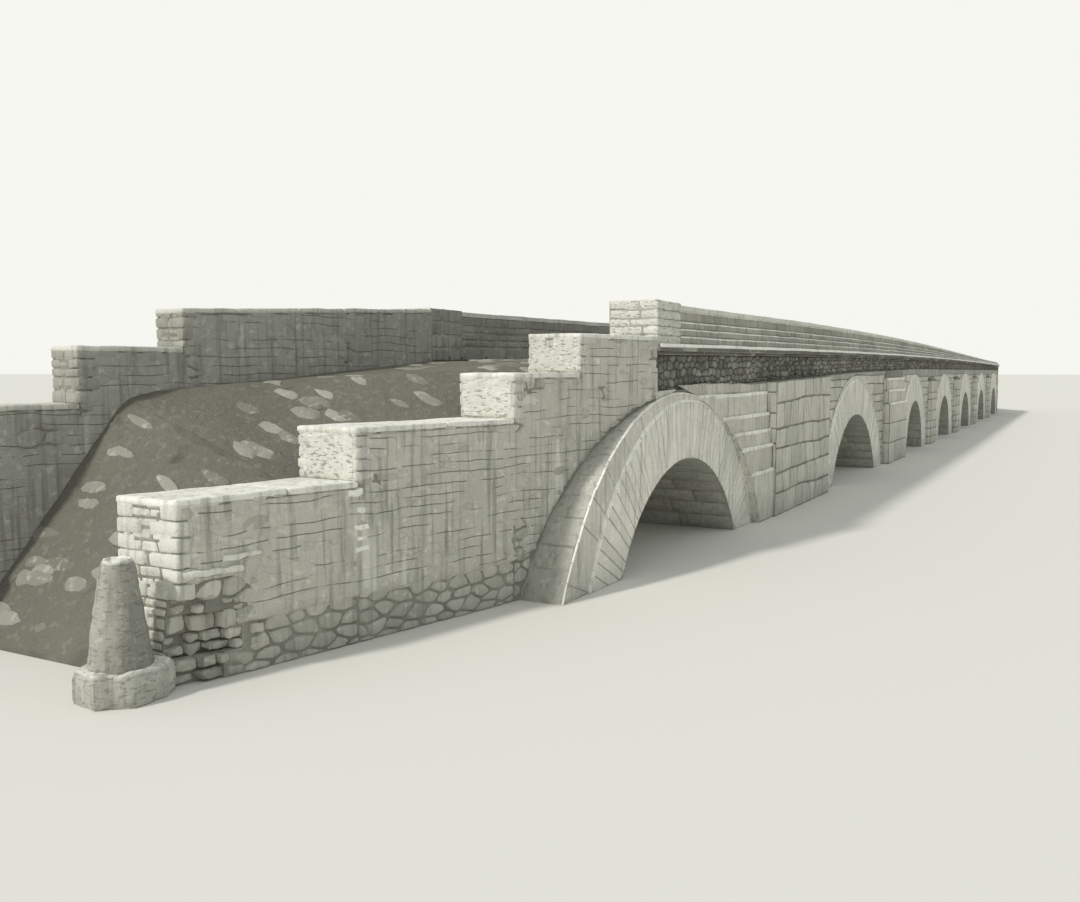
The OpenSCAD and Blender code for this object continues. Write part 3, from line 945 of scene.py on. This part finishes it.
def parapet_inner_stones(side, name):
    """The face of the parapet towards the road."""
    work = Masonry(name, "parapet_stone", 180 + side, tones=(0.2, 0.7))

    def place(a, b, w):
        return xyz(a, side * (ROAD_HALF - w), b)

    lines = [road, cornice] + [parapet_line(share) for share in COURSE_EDGES[1:]]
    courses(work, place, lines, constant(block_end), constant(far_x), 0.30, slant=0.012, proud=0.008)
    bottom = float(road(near_x))
    lines = [constant(bottom + k * (block_top - bottom) / 4) for k in range(5)]
    courses(work, place, lines, constant(near_x), constant(block_end), 0.2, proud=0.007)
    work.build(rough=0.004)


def coping_stones(side, name):
    """Slabs on top of the parapet, a little higher than its solid."""
    work = Masonry(name, "dressed_stone", 190 + side)
    outer = PARAPET_FACE - (len(COURSE_EDGES) - 2) * COURSE_STEP + COPING_OUT

    def place(a, y, share):
        bottom = parapet_line(COURSE_EDGES[-1])(a)
        return xyz(a, side * y, bottom + (parapet_top(a) - bottom) * share)

    for start, end in pairwise(joints_along(work.rng, block_end, far_x, 0.40)):
        far = (end - 0.003, outer + work.rng.uniform(0.002, 0.010), 1.16)
        work.block(place, (start + 0.003, ROAD_HALF - 0.006, 0.0), far, chamfer=0.009, cell=0.2)
    work.build(rough=0.004)


def end_block_stones(side, name):
    """Five courses of rough white stones at the near end of the parapet."""
    work = Masonry(name, "dressed_stone", 200 + side, tones=(0.4, 1.0))
    place = over_line(side, constant(0))
    bottom = float(cornice(near_x))
    cuts = np.linspace(bottom, block_top + 0.004, 6)
    cuts[1:-1] += work.rng.uniform(-0.008, 0.008, 4)
    middle = ROAD_HALF + (PARAPET_FACE - ROAD_HALF) / 2
    for low, high in pairwise(cuts):
        split = near_x + (block_end - near_x) * work.rng.uniform(0.35, 0.65)
        seam = middle + work.rng.uniform(-0.08, 0.08)
        for x0, x1 in ((near_x - 0.006, split), (split, block_end)):
            for y0, y1 in ((ROAD_HALF + 0.003, seam), (seam, PARAPET_FACE + 0.008)):
                near = (x0 + 0.001, y0 + 0.001, low + 0.001)
                work.block(place, near, (x1 - 0.001, y1 - 0.001, high - 0.001), chamfer=0.011, cell=0.05)
    work.build(rough=0.007, scale=14, material="limewash")


# Buttresses


def ledge_slabs(work, side, start, end, z, out, depth):
    """Pale slabs at height z along the top of a course that stands out, a painted highlight."""
    face = PIER_FACE + out
    for low, high in pairwise(joints_along(work.rng, start, end, 0.3)):
        near = (low + 0.002, face - depth - 0.01, -0.018 - work.rng.uniform(0, 0.010))
        edge = face + 0.008 + work.rng.uniform(0, 0.008)
        far = (high - 0.002, edge, 0.006 + work.rng.uniform(0, 0.006))
        work.block(over_line(side, constant(z)), near, far, pale=1, cell=0.08)


def step_courses(work, side, flat_start):
    """The stepped courses between the first vault and the flat ashlar face."""
    x, z, r = outer_circle(0)
    start, end = circle_side(0, 1), constant(flat_start)
    step = BUTTRESS_1_OUT / (len(ASHLAR_COURSES) + 1)
    looks = {"reach": 0.003, "slant": 0.02, "proud": 0.009, "joint": 0.006}

    def cheek(a, b, w):
        return around(x, z, r + w, a / r, side * b)

    for k, levels in enumerate(pairwise([0.0] + ASHLAR_COURSES)):
        out = step * (len(ASHLAR_COURSES) - k)
        face = side_face(side, PIER_FACE + out)
        courses(work, face, [constant(level) for level in levels], start, end, 0.32, **looks)
        ledge_slabs(work, side, start(levels[1]), flat_start, levels[1], out, step)
        # The end of the course towards the vault follows its outer curve, and its pale stones are a
        # painted highlight
        low, high = (math.acos((level - z) / r) * r for level in levels)
        inside, outside = FACE - 0.01, PIER_FACE + out
        quad = [(high, inside), (low, inside), (low, outside), (high, outside)]
        work.stone(cheek, quad, proud=0.004, joint=0.003, pale=0.7)


def end_courses(work, side, x, way, edges, out, foot=0.0):
    """Stones on the end of a buttress at x, from foot to out beyond the pier. way is -1 on the
    near end."""

    def place(a, b, w):
        return xyz(x + way * w, side * (PIER_FACE + a), b)

    for low, high in pairwise(edges):
        quad = [(foot, low), (out, low), (out, high), (foot, high)]
        # The end stones are lightest and pale: painted light on ends that lie in shade
        work.stone(place, quad, proud=0.005, joint=0.003, tone=1, pale=0.6)


def buttress_1_stones(work, side):
    """A flat ashlar face with stepped courses beside it."""
    flat_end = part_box("buttress_1")[1][0]
    flat_start = flat_end - BUTTRESS_1_L
    steps = len(ASHLAR_COURSES)
    looks = {"slant": 0.045, "reach": 0.004, "proud": 0.006, "joint": 0.005, "chamfer": 0.016}

    def top(drop):
        return lambda a: float(ledge(a)) - drop

    levels = [constant(z) for z in ASHLAR_JOINTS] + [top(0.19)]
    inner = [wavy(level, 0.030, 7 * k + 3, pitch=3.2) for k, level in enumerate(levels)]
    lines = [constant(0), *inner, top(0)]
    face = side_face(side, PIER_FACE + BUTTRESS_1_OUT)
    ends = (constant(flat_start), constant(flat_end))
    courses(work, face, lines, *ends, 0.30, **looks)
    edges = [0.0] + ASHLAR_COURSES + [top(0)(flat_start)]
    for k in range(steps + 1):
        foot = BUTTRESS_1_OUT * (steps - k) / (steps + 1)
        end_courses(work, side, flat_start, -1, edges[k:k + 2], BUTTRESS_1_OUT, foot)
    step_courses(work, side, flat_start)


def buttress_2_stones(work, side):
    """Courses that step out towards the foot."""
    low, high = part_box("buttress_2")
    levels = len(BUTTRESS_2_COURSES)
    edges = [0.0, 0.3, 0.58] + BUTTRESS_2_COURSES
    ends = (constant(low[0]), constant(high[0]))
    for k in range(len(edges) - 1):
        out = BUTTRESS_2_OUT * (levels + 1 - max(0, k - 2)) / (levels + 1)
        lines = [constant(edges[k]), constant(edges[k + 1])]
        face = side_face(side, PIER_FACE + out)
        courses(work, face, lines, *ends, 0.5, slant=0.03, proud=0.006, joint=0.005)
        for x, way in ((low[0], -1), (high[0], 1)):
            end_courses(work, side, x, way, edges[k:k + 2], out)
        if k >= 2:
            ledge_slabs(work, side, low[0], high[0], edges[k + 1], out, BUTTRESS_2_OUT / (levels + 1))


def buttress_stones():
    """The stones of all buttresses, on both sides."""
    work = Masonry("buttress_stones", "ashlar_stone", 210)
    for side in (-1, 1):
        buttress_1_stones(work, side)
        buttress_2_stones(work, side)
        for i in range(2, 6):
            low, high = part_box(f"buttress_{i + 1}")
            lines = level_lines(work.rng, constant(BUTTRESS_SMALL_H), 0.16)
            face = side_face(side, PIER_FACE + BUTTRESS_SMALL_OUT)
            courses(work, face, lines, constant(low[0]), constant(high[0]), 0.3, proud=0.006)
            edges = [line(0) for line in lines]
            for x, way in ((low[0], -1), (high[0], 1)):
                end_courses(work, side, x, way, edges, BUTTRESS_SMALL_OUT)
    work.build()


# Wing walls

# Length and height of a rough stone
RUBBLE_FAR = (0.19, 0.10)
RUBBLE_LEFT = (0.17, 0.09)
RUBBLE_RIGHT = (0.135, 0.066)
# Slabs left above the hollow of the near corner, as (start, end, z) along the wall
CORNER_SLABS = [(3.19, WING_L - 0.01, 0.462), (3.10, 3.29, 0.512)]
# Heights of the white stones at the seam below the lowest step
SEAM_STONES = [0.45, 0.50, 0.56, 0.64, 0.72]
# Courses of the small packing beside the hollow
PACKING_Z = [0.23, 0.262, 0.294, 0.326]


class Wing:
    """One wing wall. a runs along it from the parapet to its tip, and b is z."""

    def __init__(self, left, far):
        self.left = left
        self.far = far
        self.name = ("far_" if far else "near_") + ("left" if left else "right")
        self.origin = far_x if far else near_x
        self.way = 1 if far else -1
        self.outward = 1 if left else -1
        self.thick = LEFT_WALL_T if left else WALL_T
        self.ends = LEFT_ENDS if left else RIGHT_ENDS
        levels = [float(parapet_top(far_x if far else block_end))] + LEFT_TOPS if left else RIGHT_TOPS
        falls = [LEFT_FALL / LEFT_ENDS[1], 0, 0] if left else [0] * 4
        self.tops = [lambda a, z=z, fall=fall: z - fall * np.asarray(a) for z, fall in zip(levels, falls)]
        self.fallen = [] if left or far else FALLEN
        self.seed = 2 * left + far
        # Crust and painted shade of the end stones, size of the rubble, and tone and cover of the coat;
        # the left wing's end stones and its dark coat carry painted shade
        self.pale = 0.1 if left else 0.35
        self.stain = 0.4 if left else 0.0
        self.rubble = RUBBLE_FAR if far else RUBBLE_LEFT if left else RUBBLE_RIGHT
        self.coat = (0.1, 0.3) if left else (0.5, 0.12)

    def outer_y(self, a):
        """y of the outer face."""
        if self.left:
            return LEFT_FACE + TURN_SLOPE * np.maximum(a - LEFT_STRAIGHT, 0)
        return -FACE + TURN_SLOPE * a

    def whole(self, a, y, c):
        """Block coordinates: along the wall, in from its outer face, and up."""
        return xyz(self.origin + self.way * a, self.outer_y(a) - self.outward * y, c)

    def outer(self, a, b, w):
        return self.whole(a, -w, b)

    def inner(self, a, b, w):
        return self.whole(a, self.thick + w, b)

    def end(self, at):
        """The end face at a: coordinates in from the outer face, up, and out of the end."""

        def place(a, b, w):
            y = self.outer_y(np.full_like(a, at)) - self.outward * a
            return xyz(self.origin + self.way * (at + w), y, b)

        return place

    def arch_distance(self, a, b):
        """How far a point of the wall lies outside the first vault."""
        if self.far:
            return np.full(np.shape(a), 9.0)
        return np.hypot(self.origin - a - band_x, b - band_z) - band_r

    def outside_arch(self, a, b):
        """The point, or the nearest one outside the first vault."""
        distance = float(self.arch_distance(a, b))
        if distance >= 0.004:
            return a, b
        x, z = self.origin - a - band_x, b - band_z
        share = (band_r + 0.004) / math.hypot(x, z)
        return self.origin - band_x - x * share, max(0.0, band_z + z * share)

    def next_top(self, index):
        """Where the end face of a step starts, on top of the next one."""
        return float(self.tops[index + 1](self.ends[index + 1])) if index + 1 < len(self.tops) else 0.0

    def bite(self, b):
        """Length and depth of the hollow that fallen stones left at a height."""
        for low, high, length, depth in self.fallen:
            if low <= b < high:
                return length, depth
        return 0, 0

    def hollow(self, a, b):
        """Whether a point of the outer face has lost its stones."""
        return a > WING_L - self.bite(b)[0]


def wing_rubble(wing):
    """Rough stones on both sides and the ends of a wing wall, with larger ones at the corners and
    flat slabs on top."""
    work = Masonry("wing_stones_" + wing.name, "rubble_stone", 220 + wing.seed, tones=(0.2, 0.95))
    for index, top in enumerate(wing.tops):
        a0, a1 = wing.ends[index], wing.ends[index + 1]
        slope = float(top(a1) - top(a0)) / (a1 - a0)
        # The inner face, towards the road, takes painted shade
        for place, grime in ((wing.outer, 0.0), (wing.inner, 0.3)):
            for cell in rubble_cells(work.rng, (a0, 0), (a1, float(top(a0))), *wing.rubble):
                level = float(top(a0)) - slope * a0 - 0.012
                for nx, ny, limit in ((-1, 0, -a0), (1, 0, a1), (0, -1, 0), (-slope, 1, level)):
                    cell = clip(cell, nx, ny, limit)
                if len(cell) < 3:
                    continue
                middle = np.mean(cell, axis=0)
                lost = wing.hollow(*middle) or sum(wing.hollow(*p) for p in cell) > 1
                if not (lost and place == wing.outer) and wing.arch_distance(*middle) > 0.012:
                    cell = [wing.outside_arch(*p) for p in cell]
                    work.rough(place, cell, grime=grime, proud=work.rng.uniform(0.005, 0.012))
        end_stones(work, wing, a1, wing.next_top(index), float(top(a1)))
        cap_slabs(work, wing, a0, a1, top)
    work.build(rough=0.005, scale=8)


def end_stones(work, wing, at, low, high):
    """Thin courses on an end face, between corner stones that turn round both corners."""
    z = low
    turn = 0
    while high - z > 0.03:
        course = min(work.rng.uniform(0.045, 0.075), high - z)
        if high - z - course < 0.03:
            course = high - z
        long, deep = (0.15, 0.10) if turn % 2 else (0.09, 0.16)
        deep *= wing.thick / WALL_T * work.rng.uniform(0.8, 1.2)
        for y0, y1 in ((-0.010, deep), (wing.thick - deep, wing.thick + 0.010)):
            if y0 < 0 and at == WING_L and wing.bite(z + course / 2)[0]:
                continue
            near = (at - long * work.rng.uniform(0.7, 1.3), y0, z + 0.002)
            far = (at + work.rng.uniform(0.005, 0.012), y1, z + course - 0.002)
            # The left wing's end stones are darkened with painted shadow
            work.block(wing.whole, near, far, chamfer=0.012, cell=0.07, pale=wing.pale, grime=wing.stain)
        z += course
        turn += 1
    thin = level_lines(work.rng, constant(high - low), 0.045, wave=0.005, seed=int(at * 100))
    raised = [lambda a, line=line: line(a) + low for line in thin]

    def start(b):
        return max(0.02, wing.bite(b)[1] if at == WING_L else 0)

    face, end = wing.end(at), constant(wing.thick - 0.02)
    looks = {"slant": 0.015, "proud": 0.008, "joint": 0.005, "pale": wing.pale, "grime": wing.stain}
    courses(work, face, raised, start, end, 0.10, **looks)


def cap_slabs(work, wing, a0, a1, top):
    """Pale slabs on the top of a wing wall."""

    def place(a, y, c):
        return wing.whole(a, y, top(a) + c)

    pale = 0.2 + 1.5 * wing.pale
    for low, high in pairwise(joints_along(work.rng, a0, a1, 0.45)):
        out = work.rng.uniform(0.010, 0.018)
        far = (high + 0.010 if high == a1 else high - 0.002, wing.thick + out, 0.005)
        work.block(place, (low + 0.002, -out, -0.026), far, chamfer=0.012, cell=0.09, pale=pale)


def wing_render(wing):
    """What is left of a coat of render on both sides of a wing wall."""
    seed = 240 + wing.seed
    tone, cover = wing.coat
    work = Masonry("wing_render_" + wing.name, "rubble_stone", seed, tones=(tone, tone))
    cell = 0.06 if wing.far else 0.035
    for index, top in enumerate(wing.tops):
        a0, a1 = wing.ends[index], wing.ends[index + 1]
        for place in (wing.outer, wing.inner):
            bare = 0.22 if place == wing.outer and not wing.far and not wing.left else 0.06
            tint = 0 if place == wing.outer else 3

            def value(a, b):
                patch = 0.5 * plane_noise(a, b * 1.5, 1.5, seed + tint)
                patch = patch + 0.25 * plane_noise(a, b, 5, seed + 7)
                fine = 0.10 * plane_noise(a, b, 14, seed + 9)
                corner = a1 - a - 0.06 - 0.05 * plane_noise(a, b, 9, seed + 13)
                edges = [np.where(b > wing.next_top(index) - 0.06, corner, 1), top(a) - b - 0.03]
                edges += [wing.arch_distance(a, b) - 0.02, b - bare]
                if wing.fallen:
                    edges.append(np.maximum(WING_L - 0.34 - a, b - 0.44))
                return np.minimum(patch + fine + cover, np.minimum.reduce(edges) * 3 + 0.3 * fine)

            def height(a, b):
                return 0.0125 + 0.004 * plane_noise(a, b * 2.5, 6, seed + 11)

            # The inner face takes painted shade
            work.sheet(place, (a0, 0), (a1, float(top(a0))), cell, value, height, grime=0.07 * tint)
    work.build(rough=0.003, scale=6, material="old_render")


def wing_limewash(wing):
    """A pale coat on the end faces of the upper steps."""
    seed = 250 + wing.seed
    work = Masonry("wing_limewash_" + wing.name, "rubble_stone", seed, tones=(0.6, 0.6))
    for index in range(len(wing.tops) - 1):
        at = wing.ends[index + 1]
        low, high = wing.next_top(index), float(wing.tops[index](at))

        def value(a, b):
            ragged = 0.5 * plane_noise(a + at, b, 7, seed) + 0.3 * plane_noise(a, b, 19, seed + 1) + 0.34
            edge = np.minimum.reduce([a + 0.004, wing.thick + 0.004 - a, high - 0.02 - b, b - low - 0.004])
            return np.minimum(ragged, edge * 12)

        def height(a, b):
            return 0.0125 + 0.003 * plane_noise(a, b, 11, seed + 2)

        work.sheet(wing.end(at), (-0.01, low), (wing.thick + 0.01, high), 0.02, value, height)
    work.build(rough=0.003, scale=12, material="limewash")


def broken_corner(wing):
    """Loose packing where stones have fallen from the corner, and two long slabs left above."""
    work = Masonry("broken_corner", "rubble_stone", 259, tones=(0.0, 0.9))
    for low, high, length, depth in FALLEN:
        for z0, z1 in pairwise(np.linspace(low, high, 3 if high - low > 0.09 else 2)):
            share = 0.0
            while share < 1.3:
                size = work.rng.uniform(0.05, 0.12)
                a = WING_L - length * share - size / 2
                y = depth * max(1 - share, 0) + work.rng.uniform(-0.012, 0.015)
                near = (a - size / 2, y - 0.02, z0 + work.rng.uniform(0, 0.010))
                far = (a + size / 2 - 0.005, y + 0.09, z1 - work.rng.uniform(0, 0.010))
                work.block(wing.whole, near, far, chamfer=0.014, cell=0.035)
                share += size / length
    # Small packing beside the hollow
    for a, z in product(np.arange(WING_L - 0.42, WING_L - 0.12, 0.06), PACKING_Z):
        if not wing.hollow(a + 0.06, z):
            size = work.rng.uniform(0.7, 1.0, 2)
            far = (a + 0.058 * size[0], 0.04, z + 0.030 * size[1])
            work.block(wing.whole, (a, -work.rng.uniform(0.002, 0.010), z), far, chamfer=0.010, cell=0.03)
    for start, end, z in CORNER_SLABS:
        far = (end, 0.05, z + 0.026)
        work.block(wing.whole, (start, -0.030, z), far, chamfer=0.008, cell=0.04, pale=0.6)
    for z in SEAM_STONES:
        a = RIGHT_ENDS[3] + work.rng.uniform(-0.02, 0.02)
        size = work.rng.uniform(0.02, 0.045, 2)
        far = (a + size[0], 0.05, z + size[1])
        work.block(wing.whole, (a - size[0], -0.022, z), far, chamfer=0.012, cell=0.03, pale=1)
    work.build(rough=0.012, scale=16)


# Road


def ramp_edges(a):
    """y of both sides of an approach, the right one first."""
    return -ROAD_HALF + TURN_SLOPE * a, ROAD_HALF + TURN_SLOPE * np.maximum(a - LEFT_STRAIGHT, 0)


def ramp_z(a, y):
    """Height of an approach, level on the left and tilted on the right."""
    start = float(road(near_x))
    left = np.interp(a, [0, RAMP_L, WING_L], [start, RAMP_LEFT_Z, 0])
    right = np.interp(a, [0, RAMP_L, WING_L], [start, RAMP_RIGHT_Z, 0]) - RAMP_BANK * TURN_SLOPE * a
    return np.maximum(np.minimum(left, right + RAMP_BANK * (y + ROAD_HALF)), 0)


def ramp_face(far):
    """Surface of an approach: a runs along it from the bridge, and b is y."""
    origin, way = (far_x, 1) if far else (near_x, -1)
    return lambda a, b, w: xyz(origin + way * a, b, ramp_z(a, b) + w)


def road_bed():
    """Packed earth, uneven under foot."""
    work = Masonry("road_bed", "road_stone", 270, tones=(0.5, 0.5))

    def value(a, b):
        right, left = ramp_edges(a)
        return np.minimum.reduce([b - right, left - b, a - 0.004, WING_L - 0.01 - a])

    def height(a, b):
        return 0.004 + 0.004 * plane_noise(a, b, 5, 271) + 0.002 * plane_noise(a, b, 17, 272)

    for far in (False, True):
        work.sheet(ramp_face(far), (0, -ROAD_HALF), (WING_L, 1.2), 0.05, value, height)
    work.build(rough=0.003, material="packed_earth")


def scatter(work, place, start, end, edges, count, size, stretch):
    """Flat stones of uneven outline, at random places between two edges. stretch is their length
    and width over size."""
    for _ in range(count):
        a = work.rng.uniform(start, end)
        right, left = edges(a)
        b = work.rng.uniform(right + size, left - size)
        turn = work.rng.uniform(0, math.pi)
        corners = []
        for k in range(7):
            angle = turn + k * 2 * math.pi / 7 + work.rng.uniform(-0.35, 0.35)
            reach = size * work.rng.uniform(0.6, 1)
            across, along = stretch[0] * reach * math.cos(angle), stretch[1] * reach * math.sin(angle)
            corners.append((a + across, b + along))
        work.rough(place, corners, proud=0.010, joint=0.0, step=0.06)


def road_stones():
    """Flat stones sunk in the road and in the approaches."""
    work = Masonry("road_stones", "road_stone", 280, tones=(0.05, 0.7))

    def deck(a, b, w):
        return xyz(a, b, road(a) + w)

    edges = constant((0.02 - ROAD_HALF, ROAD_HALF - 0.02))
    scatter(work, deck, near_x + 0.1, far_x - 0.1, edges, 760, 0.10, (0.9, 1.2))
    for far in (False, True):
        scatter(work, ramp_face(far), 0.12, RAMP_L - 0.05, ramp_edges, 40, 0.085, (0.7, 1.4))
        scatter(work, ramp_face(far), RAMP_L + 0.06, WING_L - 0.08, ramp_edges, 26, 0.09, (0.35, 1.6))
    work.build(rough=0.004)


# Guard stones

GUARD_FOOT_R = 0.133
GUARD_TOP_R = 0.066
FOOTING_R = 0.190
FOOTING_H = 0.150
# Outline of the footing stone, for a radius of 1
FOOTING_CORNERS = [(1, -0.6), (1, 0.45), (0.6, 0.86), (-0.1, 0.98),
                   (-0.8, 0.6), (-0.96, -0.3), (-0.35, -0.9), (0.5, -0.88)]


def guard_stone(node):
    """A worn cone of stone with a hollow top, on a rough footing stone."""
    low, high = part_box(node)
    tip = 1 if "near" in node else -1
    centre = np.array([high[0] - FOOTING_R if tip == 1 else low[0] + FOOTING_R, node_axis_y(node), 0])
    top_z = high[2]
    work = Masonry(node + "_stone", "guard_stone", 260 + len(node), tones=(0.4, 0.6))
    start = FOOTING_H - 0.02
    rings = [
        (GUARD_FOOT_R + (GUARD_TOP_R - GUARD_FOOT_R) * share, start + (top_z - start) * share)
        for share in np.linspace(0, 1, 26)
    ]
    rings[-1] = (GUARD_TOP_R - 0.007, top_z - 0.001)
    rings += [(k * GUARD_TOP_R, top_z - drop) for k, drop in ((0.8, 0), (0.66, 0.008), (0.3, 0.011))]
    turns = np.linspace(0, 2 * math.pi, 48, endpoint=False)
    points = np.array([(r * math.cos(t), r * math.sin(t), z) for r, z in rings for t in turns])
    dent = 0.035 * value_noise(points, 14, 261) + 0.03 * value_noise(points, 45, 262) - 0.03
    points[:, :2] *= (1 + dent)[:, None]
    work.add(points + centre, stack_faces(len(rings), len(turns)))
    # Painted shade on the side of the cone away from the sun
    shaded = np.clip((0.4 * points[:, 0] - points[:, 1]) / GUARD_FOOT_R + 0.2, 0, 1)
    work.marks["grime"][-1][:] = 0.36 * shaded
    worn_top = 4 * len(turns)
    work.marks["grime"][-1][-worn_top:] = 0
    work.marks["pale"][-1][-worn_top:] = 0.9
    outline = rounded([(0.985 * x, 0.985 * y) for x, y in FOOTING_CORNERS], 0.12, soft=0.08)
    layers = [(0.0, 0.97), (0.02, 1.0), (0.10, 0.985), (0.128, 0.95), (0.141, 0.90), (FOOTING_H, 0.68)]
    points = [(tip * x * FOOTING_R * k, y * FOOTING_R * k, z) for z, k in layers for x, y in outline]
    points = np.array(points)
    points[:, :2] *= (0.97 + 0.03 * value_noise(points, 24, 263))[:, None]
    points[:, 2] *= 0.93 + 0.07 * value_noise(points, 14, 264)
    work.add(points + centre, stack_faces(len(layers), len(outline)), tone=0.9, pale=0.15)
    work.marks["pale"][-1][-2 * len(outline):] = 0.8
    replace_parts(work.build(rough=0.004, scale=18), node)


def node_axis_y(node):
    """y of the axis of a guard stone: the middle of its highest ring of vertices."""
    vertices = [v.co for v in nodes[node].data.vertices]
    top = max(v.z for v in vertices)
    ys = [v.y for v in vertices if v.z > top - 0.001]
    return (min(ys) + max(ys)) / 2


# Stage, lights and camera

FLOOR_HALF = 400
SUN_STRENGTH = 2.35
SUN_WAY = (0.74, -0.30, -0.60)
WORLD_STRENGTH = 0.66


def make_stage():
    """A plain pale floor just below the bridge."""
    mesh = bpy.data.meshes.new("floor")
    corners = [(x * FLOOR_HALF, y * FLOOR_HALF, 0) for x, y in ((-1, -1), (1, -1), (1, 1), (-1, 1))]
    mesh.from_pydata(corners, [], [(0, 1, 2, 3)])
    floor = add_object("floor", mesh)
    floor.location.z = -0.001
    material, _, shader = principled("floor")
    shader.inputs["Base Color"].default_value = (0.70, 0.70, 0.64, 1)
    shader.inputs["Roughness"].default_value = 1
    shader.inputs["Specular IOR Level"].default_value = 0
    mesh.materials.append(material)


def make_lights():
    """A soft sun and an even white world, which the camera sees in a colour of its own."""
    sun = bpy.data.lights.new("sun", "SUN")
    sun.energy = SUN_STRENGTH
    sun.angle = math.radians(5)
    sun.color = (1.0, 0.985, 0.95)
    lamp = add_object("sun", sun)
    lamp.rotation_mode = "QUATERNION"
    lamp.rotation_quaternion = Vector(SUN_WAY).to_track_quat("-Z", "Y")
    world = bpy.data.worlds.new("world")
    bpy.context.scene.world = world
    world.use_nodes = True
    tree = world.node_tree
    background = tree.nodes["Background"]
    background.inputs["Color"].default_value = (0.97, 0.98, 1.0, 1)
    background.inputs["Strength"].default_value = WORLD_STRENGTH
    seen = add_node(tree, "Background", {"Color": (0.93, 0.925, 0.88, 1)})
    rays = add_node(tree, "LightPath", {}).outputs
    direct = rays["Is Camera Ray"]
    for kind in ("Is Glossy Ray", "Is Transmission Ray"):
        direct = add_node(tree, "Math", {0: direct, 1: rays[kind]}, operation="MAXIMUM").outputs[0]
    mix = add_node(tree, "MixShader", {0: direct, 1: background.outputs[0], 2: seen.outputs[0]})
    tree.links.new(mix.outputs[0], tree.nodes["World Output"].inputs["Surface"])


# The camera stands off the near end, on the right side, and looks along and across the bridge
CAMERA_BACK = 6.338
CAMERA_OFF = 2.586
CAMERA_Z = 1.325
CAMERA_TURN = 61.2
CAMERA_DOWN = 4.57
FOCAL_PX = 1000
IMAGE_W = 1080
SENSOR_W = 36


def make_camera():
    """The place and the focal length that the perspective of the photo gives."""
    data = bpy.data.cameras.new("camera")
    data.sensor_width = SENSOR_W
    data.lens = FOCAL_PX / IMAGE_W * SENSOR_W
    camera = add_object("camera", data)
    camera.location = (near_x - CAMERA_BACK, -FACE - CAMERA_OFF, CAMERA_Z)
    camera.rotation_euler = (math.radians(90 - CAMERA_DOWN), 0, math.radians(-CAMERA_TURN))
    bpy.context.scene.camera = camera


# The pieces that both sides of the bridge have, in the order of making
SIDE_PIECES = [pier_stones, upper_wall_stones, cornice_stones, parapet_stones, parapet_inner_stones]
SIDE_PIECES += [coping_stones, end_block_stones]


def make_bridge():
    finish_nodes()
    for i in ARCHES:
        ring_stones(i)
        vault_stones(i)
    band_stones()
    for (side, word), build in product(((-1, "right"), (1, "left")), SIDE_PIECES):
        build(side, f"{build.__name__}_{word}")
    buttress_stones()
    for left, far in product((False, True), repeat=2):
        wing = Wing(left, far)
        wing_rubble(wing)
        wing_render(wing)
        if not left:
            wing_limewash(wing)
    broken_corner(Wing(False, False))
    road_bed()
    road_stones()
    for node in sorted(nodes):
        if node.startswith("guard_stone"):
            guard_stone(node)


make_camera()
make_stage()
make_lights()
make_bridge()
bpy.context.scene.view_settings.view_transform = "Standard"
